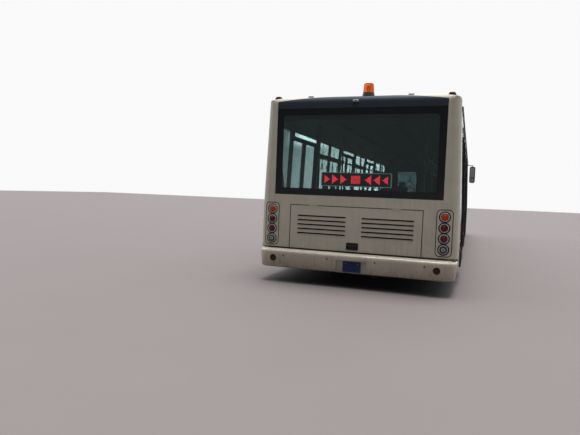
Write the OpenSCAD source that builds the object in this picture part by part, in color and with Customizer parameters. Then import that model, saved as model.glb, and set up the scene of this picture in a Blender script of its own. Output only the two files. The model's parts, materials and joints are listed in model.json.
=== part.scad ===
// Airport passenger bus with a low floor and three double doors on each side.
// Millimetres. +Z is up, +Y is forwards, +X is the bus's right side.
// The origin is on the road, under the middle of the bus.

/* [Body] */
// Length over both bumpers
body_l = 13800; // [13700:20:13900]
// Width over the side walls below the belt
body_w = 3000; // [2980:10:3020]
// Height of the roof's crown
roof_z = 2945; // [2935:5:2965]
// Height of the saloon floor
floor_z = 345; // [340:1:350]
// Height where the sides start to lean in
belt_z = 1190; // [1180:5:1200]
// Height of the cant rails, where the roof's corners start
cant_z = 2775; // [2770:5:2780]
// How far each side leans in between belt and cant rail
lean_in = 56; // [52:1:60]
// Thickness of walls, roof and end panels
wall_t = 60; // [56:1:62]

/* [Doors and windows] */
// Width of each double passenger door
door_w = 1560; // [1540:10:1580]
// Height of the passenger doors' top edge
door_top = 2385; // [2375:5:2390]
// Lower and upper edge of the side windows
window_low = 1240; // [1230:5:1250]
window_top = 2500; // [2495:5:2510]

/* [Wheels] */
// Distance between the axles
wheelbase = 7100; // [7060:20:7140]
// Distance from the rear bumper's face to the rear axle
rear_overhang = 3750; // [3730:10:3770]
// Outer diameter of a tyre
tyre_d = 956; // [950:1:960]
// Width of a tyre
tyre_w = 276; // [272:1:278]

/* [Hidden] */

half_w = body_w / 2;
bumper_d = 100;
end_y = body_l / 2 - bumper_d;
skirt_z = 280;
lean_a = atan(lean_in / (cant_z - belt_z));
roof_corner_r = 55;
rear_corner_r = 150;
front_corner_r = 300;
header_z = 2690;
rear_joint_y = -end_y + 160;
front_joint_y = end_y - 350;
bumper_top = 533;
front_bumper_top = 560;
rear_corner_bumper_r = 200;
front_corner_bumper_r = 330;
bumper_depth = 160;
// Where the bumpers' returns along the sides end
rear_return_y = -end_y + 320;
front_return_y = end_y - 408;
glass_seat = 14;
// Cuts through the side walls run between these two, past both faces
cut_in = half_w - 200;
cut_out = half_w + 40;
shut_gap = 5;
// How far the see-through opening lies inside the edge of its pane
window_rebate = 25;

rear_axle_y = -body_l / 2 + rear_overhang;
front_axle_y = rear_axle_y + wheelbase;
hub_z = tyre_d / 2;
arch_r = 575;

// Passenger doors: middle of each along the bus
door_ys = [-4860, -1320, 1790];
// Side windows between the doors: [rear edge, front edge]
window_ys = [[-4030, -3140], [-3120, -2170], [-490, 960], [2630, 3620], [3640, 4640]];
// Cab windows: [side, rear edge, front edge], side -1 on the left
cab_windows = [[-1, 4760, 5200], [-1, 6110, 6400], [1, 4760, 5560], [1, 5580, 6400]];
// Air slot behind the rearmost door
air_slot_y = [-6420, -5780];
air_slot_z = [975, 1025];
driver_door_y = [5250, 6060];
driver_door_z = [300, 2450];
// Band that divides each saloon window into a low pane and a hopper pane
transom_zs = [2140, 2230];
// Fixed panes over the passenger doors
fanlight_half = 750;
fanlight_low = door_top + 10;
fanlight_rebate = 12;

body_paint = "ivory";
trim_black = "#202224";
glass_tint = [0.25, 0.32, 0.33, 0.5];
steel_dark = "#3a3c3e";

// Points along an arc round centre c, from angle a0 to a1 in n steps
function arc(c, r, a0, a1, n = 6) =
    [for (i = [0:n]) let (a = a0 + (a1 - a0) * i / n) [c.x + r * cos(a), c.y + r * sin(a)]];

// Rectangle from low to high corner with rounded corners
function rounded(low, high, r) = concat(
    arc([high.x - r, high.y - r], r, 0, 90, 4), arc([low.x + r, high.y - r], r, 90, 180, 4),
    arc([low.x + r, low.y + r], r, 180, 270, 4), arc([high.x - r, low.y + r], r, 270, 360, 4));

// Right half of the body's cross-section, d inside the outer skin
function half_section(d) = let (
    r = max(roof_corner_r - d, 3),
    c = [half_w - lean_in - d - r, cant_z + roof_corner_r - d - r],
    edge = [c.x + r * cos(81), c.y + r * sin(81)],
    crown = roof_z - d
) concat(
    [[half_w - d, skirt_z], [half_w - d, belt_z]],
    arc(c, r, 0, 81, 7),
    [for (i = [1:6]) let (k = 1 - i / 6) [edge.x * k, crown - (crown - edge.y) * k * k]]
);

function full_section(d) = let (h = half_section(d), last = len(h) - 1)
    concat(h, [for (i = [last - 1:-1:0]) [-h[i].x, h[i].y]]);

// Side view of the body, [y, z], d inside the outer skin
function side_profile(d) = concat(
    [[end_y - d, skirt_z], [end_y - d, 1120]],
    arc([end_y - 400, 2760], 200 - d, 8, 78, 6),
    [[end_y - 700, roof_z - d + 10], [-end_y + 900, roof_z - d + 10], [-end_y + 450, roof_z - d - 20]],
    arc([-end_y + 100, header_z + 80], 100 - d, 100, 180, 6),
    [[-end_y + d, header_z], [-end_y + d, skirt_z]]
);

// Plan of the body's right half with its two rounded corners, widths times k
function half_plan(d, k) = concat(
    [[-4000, -end_y + d]],
    [for (p = arc([half_w - rear_corner_r, -end_y + rear_corner_r], rear_corner_r - d, -90, 0, 8))
        [half_w + (p.x - half_w) * k, p.y]],
    [for (p = arc([half_w - front_corner_r, end_y - front_corner_r], front_corner_r - d, 0, 90, 8))
        [half_w + (p.x - half_w) * k, p.y]],
    [[-4000, end_y - d]]
);

module along_y(y0, y1) {
    translate([0, y1, 0]) rotate([90, 0, 0]) linear_extrude(y1 - y0) children();
}

module along_x(x0, x1) {
    translate([x0, 0, 0]) rotate([90, 0, 90]) linear_extrude(x1 - x0) children();
}

module along_z(z0, z1) {
    translate([0, 0, z0]) linear_extrude(z1 - z0) children();
}

module box(low, high) {
    translate(low) cube(high - low);
}

module both_sides() {
    children();
    mirror([1, 0, 0]) children();
}

module on_side(side) {
    mirror([side < 0 ? 1 : 0, 0, 0]) children();
}

// Upright corners below the belt, corners that lean in with the sides above it
module round_corners(d) {
    intersection() {
        along_z(skirt_z, belt_z) polygon(half_plan(d, 1));
        along_z(skirt_z, belt_z) mirror([1, 0]) polygon(half_plan(d, 1));
    }
    intersection() {
        box([-half_w, -end_y - 1, belt_z], [half_w, end_y + 1, roof_z + 60]);
        both_leaning(d);
    }
}

module both_leaning(d) {
    intersection() {
        leaning_plan(d);
        mirror([1, 0, 0]) leaning_plan(d);
    }
}

module leaning_plan(d) {
    translate([half_w, 0, belt_z]) rotate([0, -lean_a, 0]) translate([-half_w, 0, -300])
        linear_extrude(2400) polygon(half_plan(d, cos(lean_a)));
}

// The whole outer form, d inside the skin
module envelope(d) {
    intersection() {
        along_y(-end_y - 5, end_y + 5) polygon(full_section(d));
        along_x(-half_w - 5, half_w + 5) polygon(side_profile(d));
        round_corners(d);
    }
}

// Skin between two depths, inside a box
module skin(d0, d1, low, high) {
    difference() {
        intersection() {
            envelope(d0);
            box(low, high);
        }
        envelope(d1);
    }
}

// Inner face of the leaning side walls at height z
function wall_in(z) = half_w - wall_t - lean_in * max(0, z - belt_z) / (cant_z - belt_z);

// Right side wall's cross-section between two depths, from z0 up
module side_band(d0, d1, z0 = skirt_z, y0 = rear_joint_y, y1 = front_joint_y) {
    along_y(y0, y1) polygon([
        [half_w - d0, z0], [half_w - d0, belt_z], [half_w - lean_in - d0, cant_z],
        [half_w - lean_in - d1, cant_z], [half_w - d1, belt_z], [half_w - d1, z0]
    ]);
}

// Slanted window behind the rearmost door, grown by g
module quarter_outline(g = 0) {
    polygon([
        [-5700 + g, window_low - g], [-5700 + g, window_top + g],
        [-6490 - g, window_top + g], [-5860 - g, window_low - g]
    ]);
}

module window_outline(y0, y1, g = 0, z0 = window_low, z1 = window_top) {
    polygon(rounded([y0 - g, z0 - g], [y1 + g, z1 + g], 50));
}

module fanlight_outline(y, g = 0) {
    polygon(rounded([y - fanlight_half - g, fanlight_low - g], [y + fanlight_half + g, window_top + g], 30));
}

// Windows of one side's wall, each grown by g
module wall_outlines(side, g = 0) {
    quarter_outline(g);
    for (w = window_ys) window_outline(w[0], w[1], g);
    for (w = cab_windows) if (w[0] == side) window_outline(w[1], w[2], g);
    for (y = door_ys) fanlight_outline(y, g);
}

// See-through openings of one side's wall
module wall_openings(side) {
    quarter_outline(-window_rebate);
    difference() {
        for (w = window_ys) window_outline(w[0], w[1], -window_rebate);
        translate([window_ys[0][0], transom_zs[0]])
            square([window_ys[4][1] - window_ys[0][0], transom_zs[1] - transom_zs[0]]);
    }
    for (w = cab_windows) if (w[0] == side) window_outline(w[1], w[2], -window_rebate);
    for (y = door_ys) fanlight_outline(y, -fanlight_rebate);
}

module arch_cuts(x0, x1) {
    for (y = [rear_axle_y, front_axle_y])
        translate([x0, y, hub_z]) rotate([0, 90, 0]) cylinder(r = arch_r, h = x1 - x0, $fn = 96);
}

// Extrudes a side view through the right side wall
module through_side() {
    along_x(cut_in, cut_out) children();
}

module side_wall(side) {
    color(body_paint) on_side(side) difference() {
        side_band(0, wall_t);
        intersection() {
            side_band(-5, glass_seat);
            through_side() wall_outlines(side);
        }
        through_side() wall_openings(side);
        for (y = door_ys) box([cut_in, y - door_w / 2, 0], [cut_out, y + door_w / 2, door_top]);
        if (side < 0) {
            box([cut_in, driver_door_y[0], driver_door_z[0]], [cut_out, driver_door_y[1], driver_door_z[1]]);
            door_barrels(door_barrel_r + shut_gap + 1, shut_gap);
        }
        arch_cuts(cut_in, cut_out);
        // The bumpers wrap round the wall's lower ends
        box([cut_in, rear_joint_y - 1, 0], [cut_out, rear_return_y + 2, bumper_top]);
        box([cut_in, front_return_y - 2, 0], [cut_out, front_joint_y + 1, front_bumper_top]);
        box([cut_in, air_slot_y[0], air_slot_z[0]], [cut_out, air_slot_y[1], air_slot_z[1]]);
    }
}

module side_wall_left() side_wall(-1);
module side_wall_right() side_wall(1);

module roof() {
    color("white") difference() {
        skin(0, wall_t, [-half_w, -end_y, cant_z], [half_w, end_y, roof_z + 50]);
        header_space();
        windscreen_space();
    }
}

header_half = 1270;

// Space of the black panel that rolls over the roof's rear edge
module header_space() {
    skin(0, glass_seat, [-header_half, -end_y - 1, header_z], [header_half, -end_y + 112, roof_z]);
}

module rear_header() {
    color(trim_black) header_space();
}

rear_glass_low = 1370;
lamp_recess = 12;
lamp_recess_r = 82.5;
lamp_hole_r = 50;
// Gap round the rear window's and the windscreen's glass
pane_gap = 3;
flap_half = 1000;
flap_z = [533, 1214];
// Hinge barrels on the flap's upper edge and on the driver's door's front edge
flap_barrel_r = 6;
flap_barrel_x = [560, 700];
door_barrel_r = 10;
door_barrel_zs = [500, 1000];
door_barrel_l = 120;
lamp_x = 1300;
// Seam round each side's four lamps
lamp_plate = [[1188, 575], [1413, 1240]];
lamp_plate_r = 60;
seam_w = 5;
seam_depth = 4;
rear_opening = [[-1180, 1460], [1180, 2600]];
rear_opening_r = 60;
flap_t = 40;
// Round rear lamps: [height, 0 amber, 1 red, 2 clear]
lamp_rows = [[1135, 0], [980, 1], [830, 1], [675, 2]];

module flap_barrels(r, g = 0) {
    both_sides() translate([flap_barrel_x[0] - g, -end_y, flap_z[1] - shut_gap]) rotate([0, 90, 0])
        cylinder(r = r, h = flap_barrel_x[1] - flap_barrel_x[0] + 2 * g, $fn = 24);
}

module door_barrels(r, g = 0) {
    for (z = door_barrel_zs) translate([half_w, driver_door_y[1] - shut_gap, z - g])
        cylinder(r = r, h = door_barrel_l + 2 * g, $fn = 32);
}

// Groove that follows the right rear corner's skin
module lamp_seam() {
    intersection() {
        along_z(lamp_plate[0].y - 1, lamp_plate[1].y + 1) difference() {
            polygon(half_plan(-1, 1));
            polygon(half_plan(seam_depth, 1));
        }
        along_y(-end_y - 10, rear_joint_y) difference() {
            polygon(rounded(lamp_plate[0], lamp_plate[1], lamp_plate_r));
            polygon(rounded(
                lamp_plate[0] + [seam_w, seam_w], lamp_plate[1] - [seam_w, seam_w], lamp_plate_r - seam_w));
        }
    }
}

module rear_panel() {
    color(body_paint) difference() {
        skin(0, wall_t, [-half_w, -end_y - 1, bumper_top], [half_w, rear_joint_y, cant_z]);
        skin(-1, glass_seat,
            [-header_half, -end_y - 1, rear_glass_low], [header_half, rear_joint_y, cant_z + 1]);
        along_y(-end_y - 10, rear_joint_y)
            polygon(rounded(rear_opening[0], rear_opening[1], rear_opening_r));
        box([-flap_half, -end_y - 10, flap_z[0] - 1], [flap_half, rear_joint_y, flap_z[1]]);
        both_sides() for (row = lamp_rows) translate([lamp_x, -end_y - 10, row[0]]) rotate([-90, 0, 0]) {
            cylinder(r = lamp_recess_r, h = 10 + lamp_recess, $fn = 64);
            cylinder(r = lamp_hole_r, h = 10 + wall_t + 10, $fn = 64);
        }
        both_sides() lamp_seam();
        flap_barrels(flap_barrel_r + shut_gap + 1, shut_gap);
    }
}

module rear_window() {
    edge = header_half - pane_gap;
    color(glass_tint) skin(4, glass_seat,
        [-edge, -end_y - 1, rear_glass_low + pane_gap], [edge, rear_joint_y, header_z - pane_gap]);
}

slot_low = 787;
slot_pitch = 66.5;
slot_h = 22;
slot_x = [119, 880];
slot_rim = 5;
rim_proud = 3;
handle = [[-92, 576], [81, 677]];
handle_depth = 25;
grip_h = 14;

// Louvre slot with round ends, grown by g
module slot_outline(z, g = 0) {
    end_r = slot_h / 2 + g;
    ends = [slot_x[0] + slot_h / 2, slot_x[1] - slot_h / 2];
    polygon(concat(arc([ends[1], z], end_r, -90, 90, 8), arc([ends[0], z], end_r, 90, 270, 8)));
}

module rear_flap() {
    color(body_paint) {
        difference() {
            union() {
                box([-flap_half + shut_gap, -end_y, flap_z[0] + shut_gap],
                    [flap_half - shut_gap, -end_y + flap_t, flap_z[1] - shut_gap]);
                flap_barrels(flap_barrel_r);
                // Pressed rim round each louvre slot
                both_sides() for (i = [0:4])
                    along_y(-end_y - rim_proud, -end_y + 1) slot_outline(slot_low + i * slot_pitch, slot_rim);
            }
            both_sides() for (i = [0:4])
                along_y(-end_y - 10, -end_y + flap_t + 10) slot_outline(slot_low + i * slot_pitch);
            along_y(-end_y - 1, -end_y + handle_depth) polygon(rounded(handle[0], handle[1], 12));
        }
        // Grip across the handle's finger recess
        box([handle[0].x - 1, -end_y + 2, handle[1].y - 3 * grip_h],
            [handle[1].x + 1, -end_y + 14, handle[1].y - 2 * grip_h]);
    }
}

bumper_low = 235;
bumper_lip_r = 45;
// How far the bumper's face leans in towards its lower edge
bumper_lean = 22;
bumper_chamfer = 14;

// Half of a bumper's sweep: straight, round corner and return along the side
module bumper_half(top, lip, corner_r, return_y) {
    foot = corner_r - bumper_lean;
    module outline() {
        polygon(concat(
            [[corner_r - bumper_depth, bumper_low], [foot - bumper_chamfer, bumper_low],
                [foot, bumper_low + bumper_chamfer], [corner_r, lip]],
            arc([corner_r - bumper_lip_r, lip], bumper_lip_r, 20, 70, 3),
            [[corner_r - bumper_d, top], [corner_r - bumper_depth, top]]));
    }
    translate([half_w - corner_r, body_l / 2 - corner_r, 0]) {
        rotate_extrude(angle = 90, $fn = 64) outline();
        rotate([90, 0, 0]) linear_extrude(body_l / 2 - corner_r - return_y) outline();
    }
    translate([0, body_l / 2 - corner_r, 0]) rotate([90, 0, 90])
        linear_extrude(half_w - corner_r) outline();
}

rear_lip_z = 468;
front_lip_z = 500;
// Recess for the number plate, round lamps and parking sensors in the rear bumper
plate_recess = [[-220, 200], [243, 425]];
plate_recess_depth = 35;
bumper_lamp_at = [1230, 380];
bumper_lamp_r = 52;
sensor_xs = [361, 1062];
sensor_z = 424;
sensor_d = 25;

module rear_bumper() {
    face_y = -body_l / 2;
    color(body_paint) difference() {
        mirror([0, 1, 0]) both_sides()
            bumper_half(bumper_top, rear_lip_z, rear_corner_bumper_r, -rear_return_y);
        along_y(face_y - 5, face_y + plate_recess_depth)
            polygon(rounded(plate_recess[0], plate_recess[1], 15));
        both_sides() {
            translate([bumper_lamp_at.x, face_y - 5, bumper_lamp_at.y]) rotate([-90, 0, 0])
                cylinder(r = bumper_lamp_r, h = 30, $fn = 48);
            for (x = sensor_xs) translate([x, face_y - 5, sensor_z]) rotate([-90, 0, 0])
                cylinder(d = sensor_d, h = 35, $fn = 24);
        }
    }
}

module front_bumper() {
    color(body_paint) both_sides()
        bumper_half(front_bumper_top, front_lip_z, front_corner_bumper_r, front_return_y);
}

screen_half = 1300;
head_lamp_xs = [900, 1085];
head_lamp_z = 700;
head_lamp_r = 70;
screen_z = [1150, 2480];
screen_opening = [[-1240, 1210], [1240, 2430]];
screen_opening_r = 90;
grille_half = 420;
// Cooling slots: lowest edge, distance between them and height of each
grille_low = 640;
grille_pitch = 60;
grille_slot_h = 22;

module windscreen_space() {
    skin(-1, glass_seat, [-screen_half, front_joint_y, screen_z[0]], [screen_half, end_y + 1, screen_z[1]]);
}

module front_panel() {
    color(body_paint) difference() {
        skin(0, wall_t, [-half_w, front_joint_y, front_bumper_top], [half_w, end_y + 1, cant_z]);
        windscreen_space();
        along_y(front_joint_y, end_y + 10)
            polygon(rounded(screen_opening[0], screen_opening[1], screen_opening_r));
        for (i = [0:5]) translate([0, end_y - 100, grille_low + i * grille_pitch])
            box([-grille_half, 0, 0], [grille_half, 110, grille_slot_h]);
        both_sides() for (x = head_lamp_xs) translate([x, end_y - 100, head_lamp_z]) rotate([-90, 0, 0])
            cylinder(r = head_lamp_r, h = 120, $fn = 48);
    }
}

module windscreen() {
    edge = screen_half - pane_gap;
    color(glass_tint) skin(4, glass_seat,
        [-edge, front_joint_y, screen_z[0] + pane_gap], [edge, end_y + 1, screen_z[1] - pane_gap]);
}

// The passenger doors' leaves stand proud of the side
door_proud = 25;
leaf_d = [-door_proud, 15];
leaf_frame = 60;
leaf_glass_low = 480;
leaf_glass_top = door_top - 20;
leaf_rebate = 20;
// Glass between these depths, from the face of the wall or leaf that holds it
pane_d = [5, glass_seat];

module leaf_outline(y0, y1, g = 0) {
    low = [y0 + leaf_frame - g, leaf_glass_low - g];
    high = [y1 - leaf_frame + g, leaf_glass_top + g];
    polygon(rounded(low, high, 50));
}

module passenger_doors() {
    color(trim_black) both_sides() for (y = door_ys, s = [-1, 1]) {
        y0 = s < 0 ? y - door_w / 2 : y + 2;
        y1 = s < 0 ? y - 2 : y + door_w / 2;
        difference() {
            side_band(leaf_d[0], leaf_d[1], 300, y0, y1);
            box([cut_in, y0 - 1, door_top], [cut_out, y1 + 1, cant_z + 5]);
            intersection() {
                side_band(leaf_d[0] - 5, leaf_d[0] + glass_seat, 300, y0, y1);
                through_side() leaf_outline(y0, y1);
            }
            through_side() leaf_outline(y0, y1, -leaf_rebate);
        }
    }
}

module side_glass() {
    color(glass_tint) for (side = [-1, 1]) on_side(side) {
        intersection() {
            side_band(pane_d[0], pane_d[1], 300);
            through_side() wall_outlines(side, -2);
        }
        intersection() {
            side_band(leaf_d[0] + pane_d[0], leaf_d[0] + pane_d[1], 300);
            through_side() for (y = door_ys) {
                leaf_outline(y - door_w / 2, y - 2, -2);
                leaf_outline(y + 2, y + door_w / 2, -2);
            }
        }
    }
}

driver_door_t = 45;
door_frame = 70;

module driver_door_outline(g) {
    polygon([
        [driver_door_y[0] + g, driver_door_z[0] + g], [driver_door_y[1] - g, driver_door_z[0] + g],
        [driver_door_y[1] - g, driver_door_z[1] - g], [driver_door_y[0] + g, driver_door_z[1] - g]
    ]);
}

module driver_window_outline(g = 0) {
    top = driver_door_z[1] - door_frame;
    window_outline(driver_door_y[0] + door_frame, driver_door_y[1] - door_frame, g, window_low, top);
}

module driver_door() {
    color(body_paint) on_side(-1) difference() {
        union() {
            intersection() {
                side_band(0, driver_door_t);
                through_side() driver_door_outline(shut_gap);
            }
            door_barrels(door_barrel_r);
        }
        intersection() {
            side_band(-5, glass_seat);
            through_side() driver_window_outline();
        }
        through_side() driver_window_outline(-window_rebate);
    }
}

module driver_door_glass() {
    color(glass_tint) on_side(-1) intersection() {
        side_band(pane_d[0], pane_d[1]);
        through_side() driver_window_outline(-2);
    }
}

lamp_colours = ["darkorange", "darkred", "lightgray"];

tail_lamp_body = 45;
head_lamp_body = 50;

// Round lamp looking along +Z, its bezel seated at z = 0 on a hole of radius hole_r
module round_lamp(hole_r, bezel_r, bezel_h, body_h) {
    rotate_extrude($fn = 64) polygon([
        [0, -body_h], [hole_r - 0.3, -body_h], [hole_r - 0.3, 0], [bezel_r, 0],
        [bezel_r, bezel_h - 4], [bezel_r - 4, bezel_h], [hole_r + 2, bezel_h], [hole_r - 2, bezel_h + 4],
        [hole_r * 0.6, bezel_h + 13], [hole_r * 0.3, bezel_h + 16], [0, bezel_h + 17]
    ]);
}

module tail_lamps() {
    both_sides() for (row = lamp_rows)
        translate([lamp_x, -end_y + lamp_recess, row[0]]) rotate([90, 0, 0])
            color(lamp_colours[row[1]]) round_lamp(lamp_hole_r, 67, lamp_recess + 4, tail_lamp_body);
}

module head_lamps() {
    color("lightgray") both_sides() for (x = head_lamp_xs)
        translate([x, end_y, head_lamp_z]) rotate([-90, 0, 0])
            round_lamp(head_lamp_r, head_lamp_r + 10, 8, head_lamp_body);
}

// Corner lamps on the roof's rear edge: sides, foot's top and lens's top
corner_lamp_x = [1252, 1360];
corner_lamp_z = [2866, 2898];
corner_lamp_taper = 16;
corner_lamp_y = [-end_y + 85, -end_y + 190];

module marker_lamps() {
    color("darkred") both_sides() {
        difference() {
            along_y(corner_lamp_y[0], corner_lamp_y[1]) polygon([
                [corner_lamp_x[0], cant_z], [corner_lamp_x[1], cant_z], [corner_lamp_x[1], corner_lamp_z[0]],
                [corner_lamp_x[1] - corner_lamp_taper, corner_lamp_z[1]],
                [corner_lamp_x[0] + corner_lamp_taper, corner_lamp_z[1]], [corner_lamp_x[0], corner_lamp_z[0]]
            ]);
            envelope(0);
        }
        // Round lamps in the rear bumper
        translate([bumper_lamp_at.x, -body_l / 2 + 25, bumper_lamp_at.y]) rotate([90, 0, 0])
            cylinder(r = bumper_lamp_r - 0.3, h = 18, $fn = 48);
    }
}

beacon_at = [60, -end_y + 400, 2945];

module beacon() {
    color("darkorange") difference() {
        translate(beacon_at) rotate_extrude($fn = 64) polygon([
            [0, -70], [95, -70], [95, 0], [88, 6], [86, 12], [74, 160], [68, 170], [0, 172]
        ]);
        envelope(0);
    }
}

// Part of the right side band between two heights
module side_strip(d0, d1, y0, y1, z0, z1) {
    intersection() {
        side_band(d0, d1, skirt_z, y0, y1);
        box([cut_in, y0 - 1, z0], [half_w + 50, y1 + 1, z1]);
    }
}

gutter_z = [2640, 2700];
gutter_proud = 18;
door_drip_z = [window_top + 12, window_top + 40];
door_drip_proud = 12;

module drip_rails() {
    color(trim_black) both_sides() {
        side_strip(-gutter_proud, 0, rear_joint_y, front_joint_y, gutter_z[0], gutter_z[1]);
        for (y = door_ys)
            side_strip(-door_drip_proud, 0, y - door_w / 2, y + door_w / 2, door_drip_z[0], door_drip_z[1]);
    }
}

// Mirror heads, lower outer and upper inner corner, and the arm that carries each
mirror_z = [2010, 2640];
mirror_x = [1520, 1730];
mirror_t = 90;
arm_at = [1625, end_y + 35, 2690];
arm_root_x = 1360;
arm_r = 13;

module mirrors() {
    reach = arm_at.z - mirror_z[1] + 20;
    color(trim_black) both_sides() {
        along_y(end_y - 10, end_y - 10 + mirror_t)
            polygon(rounded([mirror_x[0], mirror_z[0]], [mirror_x[1], mirror_z[1]], 60));
        difference() {
            union() {
                translate([arm_at.x, arm_at.y, arm_at.z - reach])
                    cylinder(r = arm_r + 1, h = reach, $fn = 24);
                translate([arm_root_x, arm_at.y, arm_at.z]) rotate([0, 90, 0])
                    cylinder(r = arm_r, h = arm_at.x - arm_root_x + 10, $fn = 24);
                translate([arm_root_x, arm_at.y + 3, arm_at.z]) rotate([90, 0, 0])
                    cylinder(r = arm_r - 1, h = 320, $fn = 24);
            }
            envelope(0);
        }
    }
}

rake_a = atan(202 / 1668);
wiper_x = 620;
wiper_z = 1125;
wiper_arm_l = 560;
wiper_blade_l = 850;

// Wiper: spindle, arm and blade, leaning back with the windscreen
module wipers() {
    color(trim_black) both_sides() translate([wiper_x, end_y, wiper_z]) rotate([rake_a, 0, 0]) {
        rotate([-90, 0, 0]) cylinder(r = 26, h = 40, $fn = 32);
        rotate([0, -10, 0]) {
            translate([-11, 15, -8]) cube([22, 11, wiper_arm_l]);
            translate([-6, 4, 140]) cube([12, 18, wiper_blade_l]);
        }
    }
}

display = [[-530, 1520], [530, 1730]];
display_t = 60;
// Adhesive between the display and the glass
display_gap = 0.1;

module destination_display() {
    back = -end_y + glass_seat + display_gap;
    color(trim_black) along_y(back, back + display_t) polygon(rounded(display[0], display[1], 8));
}

frame_end = body_l / 2 - bumper_depth;
rail_x = [440, 520];
rail_zs = [230, 315];
beam_half = 30;
beam_low = 245;
// Cross members: [middle along the bus, half length]; short ones between the wheels
beam_rows = [
    [-6420, 1440], [-5750, 1440], [-5050, 1440], [-4300, 1440], [-3600, 440], [-2700, 440], [-1900, 1440],
    [-900, 1440], [100, 1440], [1100, 1440], [2100, 1440], [2950, 1440], [3500, 440], [4400, 440],
    [4900, 1440], [5900, 1440], [6500, 440]
];

module chassis_frame() {
    color(steel_dark) {
        both_sides() box([rail_x[0], -frame_end, rail_zs[0]], [rail_x[1], frame_end, rail_zs[1]]);
        for (row = beam_rows)
            box([-row[1], row[0] - beam_half, beam_low], [row[1], row[0] + beam_half, rail_zs[1]]);
    }
}

socket_x = 330;
socket_bore_r = 20;
socket_r = 32;
// Both sockets run from below an end cross member almost to the bumper's face
socket_ys = [6390, 6700];
socket_z = 196;
saddle_half = 30;
saddle_l = 140;

// Open tube for a towing eye, hung under the frame's last cross member at each end
module tow_sockets() {
    color(steel_dark) for (end = [-1, 1]) mirror([0, end < 0 ? 1 : 0, 0]) difference() {
        union() {
            translate([socket_x, socket_ys[1], socket_z]) rotate([90, 0, 0])
                cylinder(r = socket_r, h = socket_ys[1] - socket_ys[0], $fn = 48);
            box([socket_x - saddle_half, socket_ys[0], socket_z],
                [socket_x + saddle_half, socket_ys[0] + saddle_l, beam_low]);
        }
        translate([socket_x, socket_ys[1] + 1, socket_z]) rotate([90, 0, 0])
            cylinder(r = socket_bore_r, h = socket_ys[1] - socket_ys[0] + 2, $fn = 48);
    }
}

box_half = 645;
rear_box_x = 620;
front_box_x = 720;
box_top = 1050;
sheet = 12;

// Where a wheel box opens the floor: [axle, inner edge]
wheel_box_rows = [[rear_axle_y, rear_box_x], [front_axle_y, front_box_x]];

floor_low = 315;

module floor() {
    // Between the bumpers' returns the floor is as wide as the saloon, at both ends it is narrower
    wide = half_w - wall_t;
    rear_w = half_w - rear_corner_bumper_r;
    front_w = half_w - front_corner_bumper_r;
    color("dimgray") difference() {
        union() {
            box([-wide, rear_return_y + 2, floor_low], [wide, front_return_y - 2, floor_z]);
            box([-rear_w, -frame_end, floor_low], [rear_w, 0, floor_z]);
            box([-front_w, 0, floor_low], [front_w, frame_end, floor_z]);
        }
        both_sides() for (row = wheel_box_rows)
            box([row[1], row[0] - box_half, floor_low - 15], [half_w, row[0] + box_half, floor_z + 5]);
    }
}

module wheel_boxes() {
    inner_half = box_half - sheet;
    low = floor_low - 15;
    color("gray") both_sides() for (row = wheel_box_rows) difference() {
        box([row[1], row[0] - box_half, low], [half_w - wall_t, row[0] + box_half, box_top]);
        box([row[1] + sheet, row[0] - inner_half, low - 10], [half_w, row[0] + inner_half, box_top - sheet]);
    }
}

cab_back = 4700;
cab_floor = 800;
cab_half = 1180;
step_depth = 260;

module cab_platform() {
    inner = half_w - wall_t;
    color("gray") difference() {
        union() {
            box([-inner, cab_back, floor_z], [inner, front_return_y - 2, cab_floor]);
            box([-cab_half, cab_back, floor_z], [cab_half, frame_end - 10, cab_floor]);
        }
        box([-cab_half + 20, cab_back + 20, floor_z - 1], [cab_half - 20, frame_end - 30, cab_floor - 20]);
        // Entry step inside the driver's door
        box([-inner - 1, driver_door_y[0], floor_z - 1],
            [-inner + step_depth, driver_door_y[1], cab_floor + 1]);
    }
}

engine = [[-350, 4850, 400], [450, 6050, 770]];
engine_foot = 60;

module engine_block() {
    color("silver") {
        box(engine[0], engine[1]);
        for (x = [-300, 350], y = [4950, 5900])
            box([x, y, floor_z], [x + engine_foot, y + engine_foot, engine[0].z]);
    }
}

driver_x = -850;
dash_half = 1170;
wheel_at = [driver_x, 6120, 1100];
wheel_tilt = 30;
wheel_r = 220;

module dashboard() {
    color(trim_black) {
        along_x(-dash_half, dash_half) polygon(concat(
            [[6330, cab_floor], [6700, cab_floor], [6700, 1130], [6500, 1165]],
            arc([6210, 1110], 60, 95, 180, 4), [[6150, 1040], [6330, 960]]));
        translate(wheel_at) rotate([wheel_tilt, 0, 0]) {
            rotate_extrude($fn = 48) translate([wheel_r, 0]) circle(r = 16, $fn = 16);
            cylinder(r = 50, h = 20, $fn = 24);
            for (a = [0:120:240]) rotate([0, 0, a + 30]) translate([30, -15, 3])
                cube([wheel_r - 36, 30, 12]);
            translate([0, 0, -160]) cylinder(r = 30, h = 165, $fn = 24);
        }
    }
}

driver_seat_y = 5560;
driver_seat_half = 240;

// Pedestal, seat cushion and leaning backrest of the driver's seat
module driver_seat() {
    half = driver_seat_half;
    color(steel_dark) translate([driver_x, driver_seat_y, cab_floor]) {
        cylinder(r = 150, h = 40, $fn = 32);
        cylinder(r = 60, h = 320, $fn = 32);
        along_x(-half, half) polygon(rounded([-half, 300], [half, 400], 40));
        translate([0, -230, 380]) rotate([-8, 0, 0]) along_y(-60, 30)
            polygon(rounded([-230, 0], [230, 620], 60));
    }
}

// Window in the partition behind the driver
cab_window = [[-1300, 1440], [-260, 2300]];

module cab_partition() {
    half = [[wall_in(0), floor_z], [wall_in(0), belt_z], [wall_in(2690), 2690], [1240, 2785]];
    color("gray") difference() {
        along_y(cab_back - 40, cab_back)
            polygon(concat(half, [for (i = [3:-1:0]) [-half[i].x, half[i].y]]));
        along_y(cab_back - 50, cab_back + 10) polygon(rounded(cab_window[0], cab_window[1], 60));
    }
}

seat_half = 215;
seat_foot = 36;

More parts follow.
